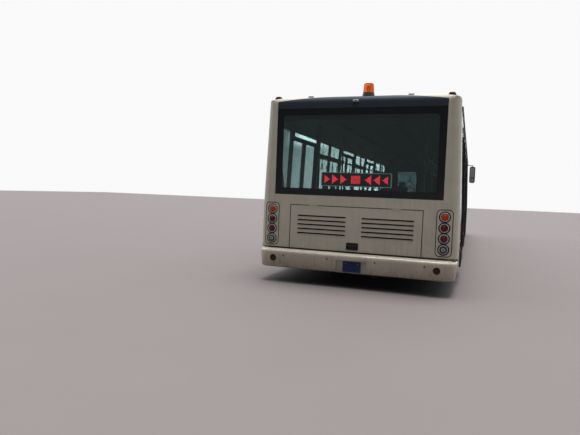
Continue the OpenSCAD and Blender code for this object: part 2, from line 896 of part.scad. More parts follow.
// Moulded seat shell facing +Y, the seat's top at z = 0: one bent sheet with round corners on a foot
module seat_shell() {
    intersection() {
        along_x(-seat_half, seat_half) polygon(concat(
            arc([190, -32], 38, 0, 90, 3), [[60, 0]], arc([-130, 70], 72, -90, -170, 4), [[-226, 320]],
            arc([-258, 548], 12, 0, 180, 3), [[-244, 318]], arc([-130, 70], 90, -170, -90, 4), [[60, -18]],
            arc([190, -32], 20, 90, 0, 3)));
        along_y(-300, 240) polygon(concat(
            [[-seat_half, -60], [seat_half, -60]], arc([seat_half - 80, 480], 80, 0, 90, 5),
            arc([80 - seat_half, 480], 80, 90, 180, 5)));
        along_z(-60, 600) polygon(rounded([-seat_half, -300], [seat_half, 228], 70));
    }
    along_z(-seat_foot, -2) polygon(rounded([-150, -130], [150, 120], 40));
}

bench = [[-1240, -end_y + wall_t + 5, floor_z], [1240, -6100, 850]];

// Seats: [x, y, height of the seat, turn]
seat_rows = concat(
    [for (x = [-980:490:980]) [x, -6300, bench[1].z + seat_foot, 0]],
    [for (y = [-3460, -2840, 3640, 4260], s = [-1, 1]) [s * 1150, y, box_top + seat_foot, s * 90]]);

module passenger_seats() {
    color("steelblue") for (s = seat_rows)
        translate([s[0], s[1], s[2]]) rotate([0, 0, s[3]]) seat_shell();
    // Closed bench over the rear compartment
    color("gray") box(bench[0], bench[1]);
}

// Lengthwise handrails between the poles
rail_z = 2050;
rail_r = 15;
// Upright poles beside the doors, along the bus
pole_ys = [-5700, -4000, -2200, -440, 910, 2680];
pole_x = 900;
pole_r = 17.5;

module handrails() {
    color("gold") both_sides() {
        for (y = pole_ys) translate([pole_x, y, floor_z])
            cylinder(r = pole_r, h = ceiling_z - floor_z, $fn = 24);
        translate([pole_x, pole_ys[0], rail_z]) rotate([-90, 0, 0])
            cylinder(r = rail_r, h = pole_ys[5] - pole_ys[0], $fn = 24);
    }
}

ceiling_z = 2560;
duct_gap = 0.5;

// The ducts' lower outer edge, upper outer edge and top
duct_zs = [2500, 2680, 2785];
duct_x = 1020;
duct_end = -6500;
ceiling_t = 15;

module ceiling_ducts() {
    color("gainsboro") {
        both_sides() along_y(duct_end, cab_back - 40) polygon([
            [duct_x, ceiling_z], [wall_in(duct_zs[0]) - duct_gap, duct_zs[0]],
            [wall_in(duct_zs[1]) - duct_gap, duct_zs[1]], [1240, duct_zs[2]], [duct_x, duct_zs[2]]
        ]);
        box([-duct_x, duct_end, ceiling_z], [duct_x, cab_back - 40, ceiling_z + ceiling_t]);
    }
}

tank_y = [-6000, -4950];

module fuel_tank() {
    color(steel_dark) along_y(tank_y[0], tank_y[1])
        polygon(rounded([-1250, 150], [-560, beam_low], 40));
}

kingpin_x = 1030;
front_wheel_x = 1236;
rear_wheel_x = [948, 1258];
beam_z = [150, 222];
spindle_r = 45;
kingpin_r = 25;
bearing_gap = 0.05;

axle_half = 70;
spring_r = 45;
// Where each side's upright and the spindle's root stand on the axle beams
front_upright_x = [800, 880];
rear_upright_x = [640, 720];
rear_spring_r = 36;
rear_spindle_end = 1325;

module front_axle() {
    color(steel_dark) translate([0, front_axle_y, 0]) {
        box([-860, -axle_half, beam_z[0]], [860, axle_half, beam_z[1]]);
        both_sides() {
            box([front_upright_x[0], -60, beam_z[0]], [front_upright_x[1], 60, hub_z + 40]);
            box([front_upright_x[1] - 10, -40, hub_z - 40], [kingpin_x - 40, 40, hub_z + 40]);
            translate([kingpin_x, 0, hub_z - 60]) cylinder(r = 55, h = 120, $fn = 48);
            translate([kingpin_x, 0, hub_z - 120]) cylinder(r = kingpin_r, h = 240, $fn = 48);
            // Air spring up to the floor
            translate([620, 0, beam_z[1]]) cylinder(r = spring_r, h = floor_low - beam_z[1], $fn = 48);
        }
    }
}

module rear_axle() {
    color(steel_dark) translate([0, rear_axle_y, 0]) {
        box([-700, -axle_half, beam_z[0]], [700, axle_half, beam_z[1]]);
        both_sides() {
            box([rear_upright_x[0], -60, beam_z[0]], [rear_upright_x[1], 60, hub_z + 70]);
            translate([rear_upright_x[1] - 10, 0, hub_z]) rotate([0, 90, 0])
                cylinder(r = spindle_r, h = rear_spindle_end - rear_upright_x[1] + 10, $fn = 48);
            translate([570, 0, beam_z[1]]) cylinder(r = rear_spring_r, h = floor_low - beam_z[1], $fn = 48);
        }
    }
}

knuckle_plate_x = [kingpin_x + 60, kingpin_x + 92];
ear_h = 40;

// Right knuckle: two ears round the kingpin and the spindle of the wheel
module knuckle() {
    ear_zs = [hub_z - 65 - ear_h, hub_z + 65];
    difference() {
        union() {
            for (z = ear_zs) {
                translate([kingpin_x, front_axle_y, z]) cylinder(r = 58, h = ear_h, $fn = 48);
                box([kingpin_x, front_axle_y - 40, z], [kingpin_x + 70, front_axle_y + 40, z + ear_h]);
            }
            box([knuckle_plate_x[0], front_axle_y - 50, ear_zs[0]],
                [knuckle_plate_x[1], front_axle_y + 50, ear_zs[1] + ear_h]);
            translate([knuckle_plate_x[1] - 7, front_axle_y, hub_z]) rotate([0, 90, 0])
                cylinder(r = spindle_r, h = 190, $fn = 48);
        }
        translate([kingpin_x, front_axle_y, hub_z - 200])
            cylinder(r = kingpin_r + bearing_gap, h = 400, $fn = 48);
    }
}

module knuckle_left() {
    color(steel_dark) on_side(-1) knuckle();
}

module knuckle_right() {
    color(steel_dark) knuckle();
}

// Tyre with its axle along X, centred on the origin
module tyre() {
    r = tyre_d / 2;
    w = tyre_w / 2;
    rotate([0, 90, 0]) rotate_extrude($fn = 72) polygon([
        [290, -w + 30], [330, -w + 8], [400, -w], [r - 40, -w + 10], [r - 10, -w + 24], [r, -w + 50],
        [r, w - 50], [r - 10, w - 24], [r - 40, w - 10], [400, w], [330, w - 8], [290, w - 30]
    ]);
}

// Wheel disc and rim with its hub; the dish faces +X
module rim() {
    w = tyre_w / 2;
    rotate([0, 90, 0]) difference() {
        rotate_extrude($fn = 72) polygon([
            [spindle_r + bearing_gap, -60], [110, -60], [110, -20], [150, 50], [230, 70], [262, 60],
            [262, -w + 20], [289.7, -w + 12], [289.7, w - 12], [262, w - 20], [262, 72], [235, 84],
            [140, 64], [105, 40], [80, 60], [spindle_r + bearing_gap, 60]
        ]);
        for (a = [0:45:315]) rotate([0, 0, a]) translate([205, 0, 0]) cylinder(r = 24, h = 120, $fn = 24);
    }
}

module front_wheel_at(side) {
    translate([side * front_wheel_x, front_axle_y, hub_z]) on_side(side) children();
}

module rear_wheels_at(side) {
    translate([0, rear_axle_y, hub_z]) on_side(side) for (x = rear_wheel_x)
        translate([x, 0, 0]) mirror([x == rear_wheel_x[0] ? 0 : 1, 0, 0]) children();
}

// Both rear rims of one side on their common hub
module rear_rims(side) {
    rear_wheels_at(side) rim();
    hub_l = rear_wheel_x[1] - rear_wheel_x[0];
    translate([0, rear_axle_y, hub_z]) on_side(side) translate([rear_wheel_x[0], 0, 0]) rotate([0, 90, 0])
        rotate_extrude($fn = 72) translate([spindle_r + bearing_gap, 0]) square([30, hub_l]);
}

module tyre_front_left() color("#1c1c1c") front_wheel_at(-1) tyre();
module tyre_front_right() color("#1c1c1c") front_wheel_at(1) tyre();
module rim_front_left() color("silver") front_wheel_at(-1) rim();
module rim_front_right() color("silver") front_wheel_at(1) rim();
module tyres_rear_left() color("#1c1c1c") rear_wheels_at(-1) tyre();
module tyres_rear_right() color("#1c1c1c") rear_wheels_at(1) tyre();
module rims_rear_left() color("silver") rear_rims(-1);
module rims_rear_right() color("silver") rear_rims(1);

chassis_frame();
floor();
wheel_boxes();
side_wall_left();
side_wall_right();
roof();
rear_panel();
rear_header();
rear_window();
rear_flap();
rear_bumper();
front_panel();
front_bumper();
windscreen();
side_glass();
passenger_doors();
driver_door();
driver_door_glass();
tail_lamps();
head_lamps();
marker_lamps();
beacon();
drip_rails();
mirrors();
wipers();
destination_display();
cab_platform();
dashboard();
driver_seat();
cab_partition();
passenger_seats();
handrails();
ceiling_ducts();
engine_block();
fuel_tank();
tow_sockets();
front_axle();
rear_axle();
knuckle_left();
knuckle_right();
tyre_front_left();
rim_front_left();
tyre_front_right();
rim_front_right();
tyres_rear_left();
rims_rear_left();
tyres_rear_right();
rims_rear_right();
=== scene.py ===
import json
import math

import bmesh
import bpy
import numpy as np
from mathutils import Matrix

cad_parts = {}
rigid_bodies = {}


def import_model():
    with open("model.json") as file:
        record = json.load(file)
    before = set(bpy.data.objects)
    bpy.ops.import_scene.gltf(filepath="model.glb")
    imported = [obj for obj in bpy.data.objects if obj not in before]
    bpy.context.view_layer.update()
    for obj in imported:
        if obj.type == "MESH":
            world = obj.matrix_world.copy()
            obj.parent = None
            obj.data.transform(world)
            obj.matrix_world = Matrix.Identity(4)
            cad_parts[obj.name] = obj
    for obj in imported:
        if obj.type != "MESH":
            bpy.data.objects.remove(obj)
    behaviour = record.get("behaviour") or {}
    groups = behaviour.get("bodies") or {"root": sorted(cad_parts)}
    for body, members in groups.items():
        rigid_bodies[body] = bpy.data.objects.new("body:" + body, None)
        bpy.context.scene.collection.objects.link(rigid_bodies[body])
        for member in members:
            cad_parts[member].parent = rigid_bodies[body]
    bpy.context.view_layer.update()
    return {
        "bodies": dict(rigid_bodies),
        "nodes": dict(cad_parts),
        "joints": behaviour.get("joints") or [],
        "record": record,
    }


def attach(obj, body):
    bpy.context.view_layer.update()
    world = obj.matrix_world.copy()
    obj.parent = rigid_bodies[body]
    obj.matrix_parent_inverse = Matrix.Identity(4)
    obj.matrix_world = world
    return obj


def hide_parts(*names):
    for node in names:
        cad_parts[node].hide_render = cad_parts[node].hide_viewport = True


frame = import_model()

print("frame loaded:", len(frame["nodes"]), "nodes")

# Main sizes of the body, in metres, as the solids have them
body = {
    "halfWidth": 1.5,
    "rearY": -6.8,
    "frontY": 6.8,
    "beltZ": 1.19,
    "cantZ": 2.775,
    "leanIn": 0.056,
    "rearCornerR": 0.15,
    "frontCornerR": 0.3,
    "doorMiddles": (-4.86, -1.32, 1.79),
    "doorWidth": 1.56,
    "doorTop": 2.385,
    "frontAxleY": 3.95,
    "rearAxleY": -3.15,
    "hubZ": 0.478,
}

# How meshes are cleaned and shaded: distances in metres, angles in degrees
meshing = {"merge": 2e-5, "flat": 1e-6, "sharp": 32, "solidMerge": 1e-5, "solidSharp": 29}


# Rows of points. A single number is repeated to the length of the arrays beside it
def spots(x=0.0, y=0.0, z=0.0):
    return np.stack(np.broadcast_arrays(x, y, z), -1).reshape(-1, 3).astype(float)


# Angles of evenly spaced points round a circle
def around(count):
    return np.linspace(0, 2 * math.pi, count, endpoint=False)


# Quads between neighbouring points of a rows x columns grid, by index arithmetic
def gridFaces(rows, columns, closeRows, closeColumns):
    r, c = np.meshgrid(
        np.arange(rows if closeRows else rows - 1),
        np.arange(columns if closeColumns else columns - 1), indexing="ij")
    r1, c1 = (r + 1) % rows, (c + 1) % columns
    quads = [r * columns + c, r * columns + c1, r1 * columns + c1, r1 * columns + c]
    return np.stack(quads, -1).reshape(-1, 4)


# A patch is points, quads and end caps with one material index. Its grid may close on itself both ways
def surface(points, material=0, closeRows=False, closeColumns=False, capped=False):
    rows, columns = points.shape[:2]
    caps = [list(range(columns)), list(range((rows - 1) * columns, rows * columns))] if capped else []
    quads = gridFaces(rows, columns, closeRows, closeColumns)
    return {"points": points.reshape(-1, 3), "quads": quads, "caps": caps, "material": material}


# Rings of one point count, joined in order: a face at each end, or the last ring joined to the first
def lofted(rings, material=0, closed=False):
    return surface(np.stack(rings), material, closeRows=closed, closeColumns=True, capped=not closed)


# Copies of a patch at every offset: points + offset, faces + index shift
def repeated(patch, offsets):
    shift = np.arange(len(offsets)) * len(patch["points"])
    return {
        "points": (patch["points"] + offsets[:, None]).reshape(-1, 3),
        "quads": (patch["quads"] + shift[:, None, None]).reshape(-1, 4),
        "caps": [[i + k for i in cap] for k in shift.tolist() for cap in patch["caps"]],
        "material": patch["material"],
    }


def moved(patch, offset):
    return dict(patch, points=patch["points"] + np.asarray(offset, float))


# The same patch on the bus's other side: x changes its sign
def mirrored(patch):
    return dict(patch, points=patch["points"] * (-1, 1, 1))


def bothSides(patches):
    return patches + [mirrored(patch) for patch in patches]


# Directions of a plane's two axes and of its normal, for each axis a shape is built along
axisFrames = {
    "x": ((0, 1, 0), (0, 0, 1), (1, 0, 0)),
    "y": ((-1, 0, 0), (0, 0, 1), (0, 1, 0)),
    "-y": ((1, 0, 0), (0, 0, 1), (0, -1, 0)),
    "z": ((1, 0, 0), (0, 1, 0), (0, 0, 1)),
}


# Point = centre + u * first axis + v * second axis + height * normal
def placed(u, v, height, axis, centre=(0, 0, 0)):
    first, second, normal = (np.array(a, float) for a in axisFrames[axis])
    u, v, height = np.broadcast_arrays(u, v, height)
    return np.array(centre, float) + u[..., None] * first + v[..., None] * second + height[..., None] * normal


# A profile of [radius, height] turned round an axis: u = r cos a, v = r sin a
def turned(profile, axis, centre, material=0, segments=48, closed=False):
    profile = np.asarray(profile, float)
    angle = around(segments)
    radius, height = profile[:, :1], profile[:, 1:]
    points = placed(radius * np.cos(angle), radius * np.sin(angle), height, axis, centre)
    return surface(points, material, closeRows=closed, closeColumns=True)


# Outward unit normals of the edges before and after each corner
def edgeNormals(corners):
    before, after = corners - np.roll(corners, 1, 0), np.roll(corners, -1, 0) - corners
    return [np.stack([d[:, 1], -d[:, 0]], 1) / np.linalg.norm(d, axis=1)[:, None] for d in (before, after)]


# Each corner becomes an arc that touches both its edges: centre = corner - r (n0 + n1) / (1 + n0.n1)
def roundedOutline(corners, radius, steps=5):
    corners = np.asarray(corners, float)
    n0, n1 = edgeNormals(corners)
    cosine = np.clip((n0 * n1).sum(1), -1, 1)[:, None]
    turn = np.maximum(np.arccos(cosine), 1e-6)
    centre = corners - radius * (n0 + n1) / (1 + cosine)
    t = np.linspace(0, 1, steps + 1)
    w0, w1 = np.sin((1 - t) * turn) / np.sin(turn), np.sin(t * turn) / np.sin(turn)
    arcs = centre[:, None] + radius * (w0[..., None] * n0[:, None] + w1[..., None] * n1[:, None])
    return arcs.reshape(-1, 2)


# Corners moved inwards: corner - d (n0 + n1) / (1 + n0.n1)
def insetCorners(corners, distance):
    corners = np.asarray(corners, float)
    n0, n1 = edgeNormals(corners)
    return corners - distance * (n0 + n1) / (1 + (n0 * n1).sum(1)[:, None])


# Outline measured along its length and put back as evenly spaced points
def resampled(outline, count=160):
    closed = np.concatenate([outline, outline[:1]])
    along = np.concatenate([[0], np.cumsum(np.linalg.norm(np.diff(closed, axis=0), axis=1))])
    wanted = np.linspace(0, along[-1], count, endpoint=False)
    return np.stack([np.interp(wanted, along, closed[:, k]) for k in (0, 1)], 1)


def rectangle(x0, x1, z0, z1, grow=0.0):
    return np.array([(x0 - grow, z0 - grow), (x1 + grow, z0 - grow), (x1 + grow, z1 + grow),
                     (x0 - grow, z1 + grow)])


def roundedRect(x0, x1, z0, z1, radius, grow=0.0, steps=5):
    return roundedOutline(rectangle(x0, x1, z0, z1, grow), max(radius + grow, 0.0), steps)


# Outlines with their heights along an axis, joined in order
def stacked(levels, axis, material=0, closed=False):
    return lofted([placed(o[:, 0], o[:, 1], height, axis) for o, height in levels], material, closed)


# One rounded rectangle at several levels of [growth, height]
def tiers(box, radius, levels, axis, material=0, steps=5):
    return stacked([(roundedRect(*box, radius, grow, steps), height) for grow, height in levels], axis,
                   material)


# A rounded bar or plate along an axis: an outline pushed from low to high, its two ends bevelled
def plate(x0, x1, z0, z1, radius, low, high, axis, bevel=0.002, material=0, steps=4):
    levels = ((-bevel, low), (0.0, low + bevel), (0.0, high - bevel), (-bevel, high))
    return tiers((x0, x1, z0, z1), radius, levels, axis, material, steps)


# A flat frame between two rounded outlines, of a given thickness
def flatRing(outer, inner, low, high, axis, material=0):
    return stacked([(outer, low), (outer, high), (inner, high), (inner, low)], axis, material, closed=True)


# A frame along a rounded rectangle, its outer and inner edge grown by two amounts
def rectRing(box, radius, grows, low, high, axis, material=0, steps=5):
    outer, inner = (roundedRect(*box, radius, grow, steps) for grow in grows)
    return flatRing(outer, inner, low, high, axis, material)


# A profile carried along a path in one plane: point = path + u * side + v * binormal
def carried(profile, path, binormal, material=0, closed=False):
    profile, path = np.asarray(profile, float), np.asarray(path, float)
    tangent = np.roll(path, -1, 0) - np.roll(path, 1, 0) if closed else np.gradient(path, axis=0)
    tangent /= np.linalg.norm(tangent, axis=1, keepdims=True)
    binormal = np.array(binormal, float)
    side = np.cross(binormal, tangent)
    side /= np.linalg.norm(side, axis=1, keepdims=True)
    return lofted(path[:, None] + profile[None, :, :1] * side[:, None] + profile[None, :, 1:] * binormal,
                  material, closed)


def circleProfile(radius, sides=12):
    return radius * np.stack([np.cos(around(sides)), np.sin(around(sides))], 1)


# Joins patches into one mesh, merges doubles, turns faces outwards and makes it a piece of the bus
def makePiece(name, patches, finishNames, bodyName="bus_body", replaces=()):
    sizes = np.cumsum([0] + [len(p["points"]) for p in patches])
    points = np.concatenate([p["points"] for p in patches])
    faces, indices = [], []
    for first, patch in zip(sizes.tolist(), patches):
        faces += (patch["quads"] + first).tolist() + [[i + first for i in cap] for cap in patch["caps"]]
        indices += [patch["material"]] * (len(patch["quads"]) + len(patch["caps"]))
    mesh = bpy.data.meshes.new(name)
    mesh.from_pydata(points.tolist(), [], faces)
    mesh.polygons.foreach_set("material_index", indices)
    for finishName in finishNames.split():
        mesh.materials.append(materials[finishName])
    merge = bmesh.new()
    merge.from_mesh(mesh)
    bmesh.ops.remove_doubles(merge, verts=merge.verts, dist=meshing["merge"])
    bmesh.ops.dissolve_degenerate(merge, dist=meshing["flat"], edges=merge.edges)
    bmesh.ops.recalc_face_normals(merge, faces=merge.faces)
    merge.to_mesh(mesh)
    merge.free()
    mesh.polygons.foreach_set("use_smooth", [True] * len(mesh.polygons))
    mesh.set_sharp_from_angle(angle=math.radians(meshing["sharp"]))
    piece = bpy.data.objects.new(name, mesh)
    bpy.context.scene.collection.objects.link(piece)
    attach(piece, bodyName)
    if replaces:
        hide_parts(*replaces)
    return piece


# A node tree with short words for what is added to it
class Nodes:
    def __init__(self, tree):
        self.tree = tree

    # A value that is a socket is linked, a constant is set on the input itself
    def fill(self, node, values):
        for key, value in values.items():
            if isinstance(value, bpy.types.NodeSocket):
                self.tree.links.new(value, node.inputs[key])
            else:
                node.inputs[key].default_value = value

    def add(self, kind, values={}, **settings):
        made = self.tree.nodes.new("ShaderNode" + kind)
        for key, value in settings.items():
            setattr(made, key, value)
        self.fill(made, values)
        return made

    def group(self, name, values):
        return self.add("Group", values, node_tree=groups[name]).outputs

    def math(self, operation, a, b, clamp=False):
        return self.add("Math", {0: a, 1: b}, operation=operation, use_clamp=clamp).outputs[0]

    def times(self, a, b):
        return self.math("MULTIPLY", a, b)

    def plus(self, a, b, clamp=False):
        return self.math("ADD", a, b, clamp)

    def minus(self, a, b):
        return self.math("SUBTRACT", a, b)

    # Value from low to high becomes to[0] to to[1], and holds past both ends
    def ramp(self, value, low, high, to=(0.0, 1.0), kind="LINEAR"):
        values = {"Value": value, "From Min": low, "From Max": high, "To Min": to[0], "To Max": to[1]}
        return self.add("MapRange", values, interpolation_type=kind).outputs[0]

    def mix(self, factor, a, b, blend="MIX"):
        return self.add("Mix", {0: factor, 6: a, 7: b}, data_type="RGBA", blend_type=blend).outputs[2]

    # A colour times one brightness
    def shaded(self, colour, shade):
        grey = self.add("CombineColor", {0: shade, 1: shade, 2: shade}).outputs[0]
        return self.mix(1.0, colour, grey, "MULTIPLY")

    def place(self):
        return self.add("TexCoord").outputs["Object"]

    def axes(self, vector):
        return self.add("SeparateXYZ", {0: vector}).outputs

    # Noise read at object coordinates times a stretch
    def noise(self, scale, detail=4.0, roughness=0.5, stretch=(1, 1, 1)):
        shaped = self.add("Mapping", {"Vector": self.place(), "Scale": stretch}).outputs[0]
        values = {"Vector": shaped, "Scale": scale, "Detail": detail, "Roughness": roughness}
        return self.add("TexNoise", values).outputs["Fac"]

    def waves(self, direction, scale, distortion=0.0, detail=2.0):
        values = {"Vector": self.place(), "Scale": scale, "Distortion": distortion, "Detail": detail}
        return self.add("TexWave", values, bands_direction=direction).outputs["Fac"]

    def bump(self, height, strength, distance):
        return self.add("Bump", {"Height": height, "Strength": strength, "Distance": distance}).outputs[0]


# Node groups: each gives colours, masks or heights that change over the surface
def newGroup(name, inputs, outputs):
    tree = bpy.data.node_groups.new(name, "ShaderNodeTree")
    for label, value in inputs.items():
        kind = "NodeSocketColor" if isinstance(value, tuple) else "NodeSocketFloat"
        tree.interface.new_socket(label, in_out="INPUT", socket_type=kind).default_value = value
    for label in outputs:
        kind = "NodeSocketColor" if label == "Colour" else "NodeSocketFloat"
        tree.interface.new_socket(label, in_out="OUTPUT", socket_type=kind)
    return Nodes(tree), tree.nodes.new("NodeGroupInput").outputs, tree.nodes.new("NodeGroupOutput")


# Road dirt: mask = amount * (film + splash that fades with height + rain streaks) + dust on faces turned up
def makeDirtGroup():
    nodes, given, result = newGroup("RoadDirt", {
        "Paint": (0.6, 0.6, 0.6, 1), "Dirt": (0.1, 0.085, 0.065, 1), "Amount": 0.4, "Top": 1.2,
        "Streaks": 0.3, "Roughness": 0.35, "Settled": 0.0}, ("Colour", "Roughness"))
    cloud = nodes.noise(3.1, 7, 0.62)
    film = nodes.times(nodes.ramp(cloud, 0.35, 0.75), 0.3)
    speckle = nodes.times(nodes.ramp(nodes.noise(34, 3, 0.6), 0.45, 0.72), 0.5)
    fade = nodes.ramp(nodes.axes(nodes.place())["Z"], given["Top"], 0.1, kind="SMOOTHSTEP")
    splash = nodes.times(fade, nodes.plus(speckle, 0.55))
    run = nodes.times(nodes.ramp(nodes.noise(2.4, 5, 0.6, (9, 9, 0.55)), 0.52, 0.8), given["Streaks"])
    spread = nodes.times(nodes.plus(nodes.plus(film, splash), run), given["Amount"])
    facing = nodes.axes(nodes.add("NewGeometry").outputs["Normal"])["Z"]
    patchy = nodes.plus(nodes.times(cloud, 0.7), 0.65)
    dust = nodes.times(nodes.times(nodes.ramp(facing, 0.7, 0.97, kind="SMOOTHSTEP"), patchy),
                       given["Settled"])
    mask = nodes.plus(spread, dust, clamp=True)
    nodes.fill(result, {
        "Colour": nodes.mix(mask, given["Paint"], given["Dirt"]),
        "Roughness": nodes.plus(given["Roughness"], nodes.times(mask, 0.45), clamp=True)})
    return nodes.tree


# Fine surface: height for a bump and a slow mottle of the colour
def makeGrainGroup():
    nodes, given, result = newGroup("SurfaceGrain", {
        "Scale": 200.0, "Peel": 0.3, "Mottle": 0.1, "Colour": (1, 1, 1, 1)}, ("Height", "Colour"))
    fine, slow = nodes.noise(given["Scale"], 3.0), nodes.noise(5.0, 2.0)
    shade = nodes.minus(1.0, nodes.times(slow, given["Mottle"]))
    nodes.fill(result, {
        "Height": nodes.plus(fine, nodes.times(slow, given["Peel"])),
        "Colour": nodes.shaded(given["Colour"], shade)})
    return nodes.tree


# Scuffs: thin long noise bands that pass a threshold, in two directions
def makeScuffGroup():
    nodes, given, result = newGroup("Scuffs", {"Amount": 0.3, "Scale": 3.0}, ("Mask",))
    masks = [nodes.ramp(nodes.noise(given["Scale"], 6.0, 0.7, stretch), 0.63, 0.7)
             for stretch in ((0.6, 0.6, 14), (9, 9, 1.2))]
    total = nodes.math("MAXIMUM", masks[0], nodes.times(masks[1], 0.5))
    nodes.fill(result, {"Mask": nodes.times(total, given["Amount"])})
    return nodes.tree


# Weave: crossed waves give the thread's height and a mask between thread and gap
def makeWeaveGroup():
    nodes, given, result = newGroup("SeatWeave", {
        "Threads": 260.0, "Thread": (0.05, 0.06, 0.1, 1), "Gap": (0.02, 0.02, 0.03, 1)}, ("Height", "Colour"))
    x, y, z = (nodes.waves(direction, given["Threads"], 0.6, 1.0) for direction in "XYZ")
    crossed = nodes.math("MAXIMUM", nodes.times(x, z), y)
    nodes.fill(result, {"Height": crossed, "Colour": nodes.mix(crossed, given["Gap"], given["Thread"])})
    return nodes.tree


groups = {
    "dirt": makeDirtGroup(),
    "grain": makeGrainGroup(),
    "scuff": makeScuffGroup(),
    "weave": makeWeaveGroup(),
}
print("node groups ready")

roadDust = (0.125, 0.097, 0.068, 1)
glassDust = (0.2, 0.19, 0.17, 1)

# Finishes, one row each: colour, the colour that shows in scratches, roughness, scale of the grain, its peel
# and bump, dirt, height where the dirt ends, streaks, scuffs. A colour of one number is a grey
finishColumns = ("paint", "under", "rough", "grain", "peel", "bump", "dirt", "top", "streaks", "scuff")


def row(*values, **extras):
    made = dict(zip(finishColumns, values), **extras)
    for key in ("paint", "under"):
        made[key] = made[key] if isinstance(made[key], tuple) else (made[key],) * 3
    return made


finishes = {
    "bodyPaint": row((0.655, 0.625, 0.51), (0.3, 0.29, 0.27), 0.33, 420, 1.2, 0.03, 0.42, 1.25, 0.55, 0.05,
                      coat=0.45, coatRough=0.12),
    "roofPaint": row((0.64, 0.60, 0.49), (0.4, 0.39, 0.36), 0.5, 300, 1.0, 0.03, 0.4, 0.2, 0.5, 0.04,
                      coat=0.1, coatRough=0.25, settled=0.3),
    # Bumper: the dirt fades out at 0.505 m, just under the lip, so the face below is darker than the lip;
    # partly road dirt, partly painted shade
    "bumperPaint": row((0.64, 0.575, 0.465), (0.2, 0.19, 0.17), 0.3, 350, 1.4, 0.03, 0.95, 0.505, 0.35, 0.4,
                        coat=0.6, coatRough=0.1),
    # Header: black paint tinted blue as a painted sky reflection, its own specular turned down
    "blackGloss": row((0.044, 0.056, 0.075), 0.05, 0.45, 200, 1.0, 0.01, 0.08, 2.0, 0.35, 0.03,
                       specular=0.12, edge=(2.884, 0.0535), edgePaint=(0.72, 0.68, 0.58)),
    "printBlack": row((0.009, 0.012, 0.016), 0.04, 0.3, 200, 1.0, 0.01, 0.12, 1.9, 0.3, 0.02, coat=0.3,
                      coatRough=0.06),
    "mirrorFace": row((0.62, 0.64, 0.66), 0.3, 0.14, 60, 0.4, 0.004, 0.12, 2.2, 0.3, 0.0,
                       metal=0.55, coat=0.5, coatRough=0.05),
    "gapBlack": row(0.005, 0.01, 0.85, 400, 0.3, 0.05, 0.08, 1.0, 0.1, 0.0),
    "bezelGrey": row((0.60, 0.60, 0.57), 0.3, 0.35, 500, 0.3, 0.05, 0.25, 1.2, 0.2, 0.05, coat=0.3,
                     coatRough=0.15),
    # Ceiling lamp diffusers: dark grey, partly their own tone, partly painted shade of the dim saloon
    "diffuser": row((0.13, 0.14, 0.14), 0.2, 0.8, 500, 0.3, 0.05, 0.1, 0.5, 0.1, 0.0, specular=0.1),
    "seamGrey": row((0.085, 0.078, 0.066), 0.05, 0.7, 500, 0.3, 0.1, 0.4, 1.2, 0.3, 0.1),
    "doorFrame": row((0.022, 0.023, 0.026), 0.12, 0.32, 400, 1.0, 0.03, 0.3, 1.0, 0.3, 0.15, coat=0.4,
                     coatRough=0.15),
    "blackTrim": row((0.02, 0.02, 0.022), 0.08, 0.5, 900, 0.2, 0.12, 0.35, 1.2, 0.4, 0.1),
    "rubber": row((0.016, 0.016, 0.017), 0.06, 0.68, 700, 0.3, 0.1, 0.3, 1.0, 0.2, 0.1),
    "underframe": row((0.03, 0.03, 0.032), (0.12, 0.07, 0.04), 0.6, 160, 0.5, 0.2, 0.9, 0.9, 0.2, 0.2),
    "axleBlack": row((0.03, 0.03, 0.033), (0.16, 0.1, 0.06), 0.55, 120, 0.4, 0.25, 0.9, 0.9, 0.2, 0.3,
                     metal=0.2),
    "castMetal": row(0.22, (0.1, 0.08, 0.06), 0.55, 180, 0.3, 0.35, 0.7, 1.5, 0.3, 0.2, metal=0.6),
    "floorCover": row((0.10, 0.10, 0.105), 0.2, 0.6, 260, 0.2, 0.25, 0.3, 0.6, 0.0, 0.4),
    "innerPanel": row((0.42, 0.42, 0.40), 0.2, 0.45, 500, 0.4, 0.06, 0.3, 1.0, 0.3, 0.2),
    # Ceiling lining: grey, darkened partly as painted shade of the dim saloon
    "ceiling": row((0.25, 0.26, 0.26), 0.2, 0.5, 600, 0.3, 0.05, 0.15, 0.5, 0.1, 0.0),
    "dashPlastic": row((0.035, 0.035, 0.038), 0.1, 0.6, 800, 0.1, 0.22, 0.2, 1.0, 0.0, 0.05),
    "seatPlastic": row((0.035, 0.09, 0.24), (0.12, 0.17, 0.3), 0.36, 500, 0.2, 0.08, 0.25, 1.1, 0.0, 0.35,
                        coat=0.15, coatRough=0.2),
    "railYellow": row((0.72, 0.42, 0.025), (0.35, 0.2, 0.05), 0.35, 600, 0.5, 0.05, 0.2, 0.8, 0.0, 0.2,
                       coat=0.3, coatRough=0.1),
    "wheelSteel": row((0.42, 0.42, 0.41), (0.2, 0.13, 0.08), 0.42, 300, 0.8, 0.08, 0.85, 0.95, 0.2, 0.35,
                      metal=0.35),
    "tyreRubber": row((0.022, 0.022, 0.023), (0.07, 0.065, 0.055), 0.78, 500, 0.2, 0.2, 0.75, 1.0, 0.1, 0.3),
    "chrome": row(0.62, 0.2, 0.2, 300, 0.3, 0.02, 0.3, 1.0, 0.3, 0.1, metal=0.9),
    "greyPlastic": row((0.30, 0.30, 0.285), 0.2, 0.42, 700, 0.3, 0.1, 0.4, 1.4, 0.3, 0.1),
    "plateBlue": row((0.008, 0.022, 0.110), (0.2, 0.2, 0.22), 0.45, 300, 0.6, 0.06, 0.10, 0.7, 0.3, 0.3,
                     specular=0.3),
    "ledBoard": row((0.012, 0.010, 0.010), 0.1, 0.5, 900, 0.1, 0.08, 0.05, 0.5, 0.0, 0.0),
}


def newMaterial(name, colour, alpha=1.0):
    made = bpy.data.materials.new(name)
    made.use_nodes = True
    made.diffuse_color = (*colour, alpha)
    return made, Nodes(made.node_tree), made.node_tree.nodes["Principled BSDF"]


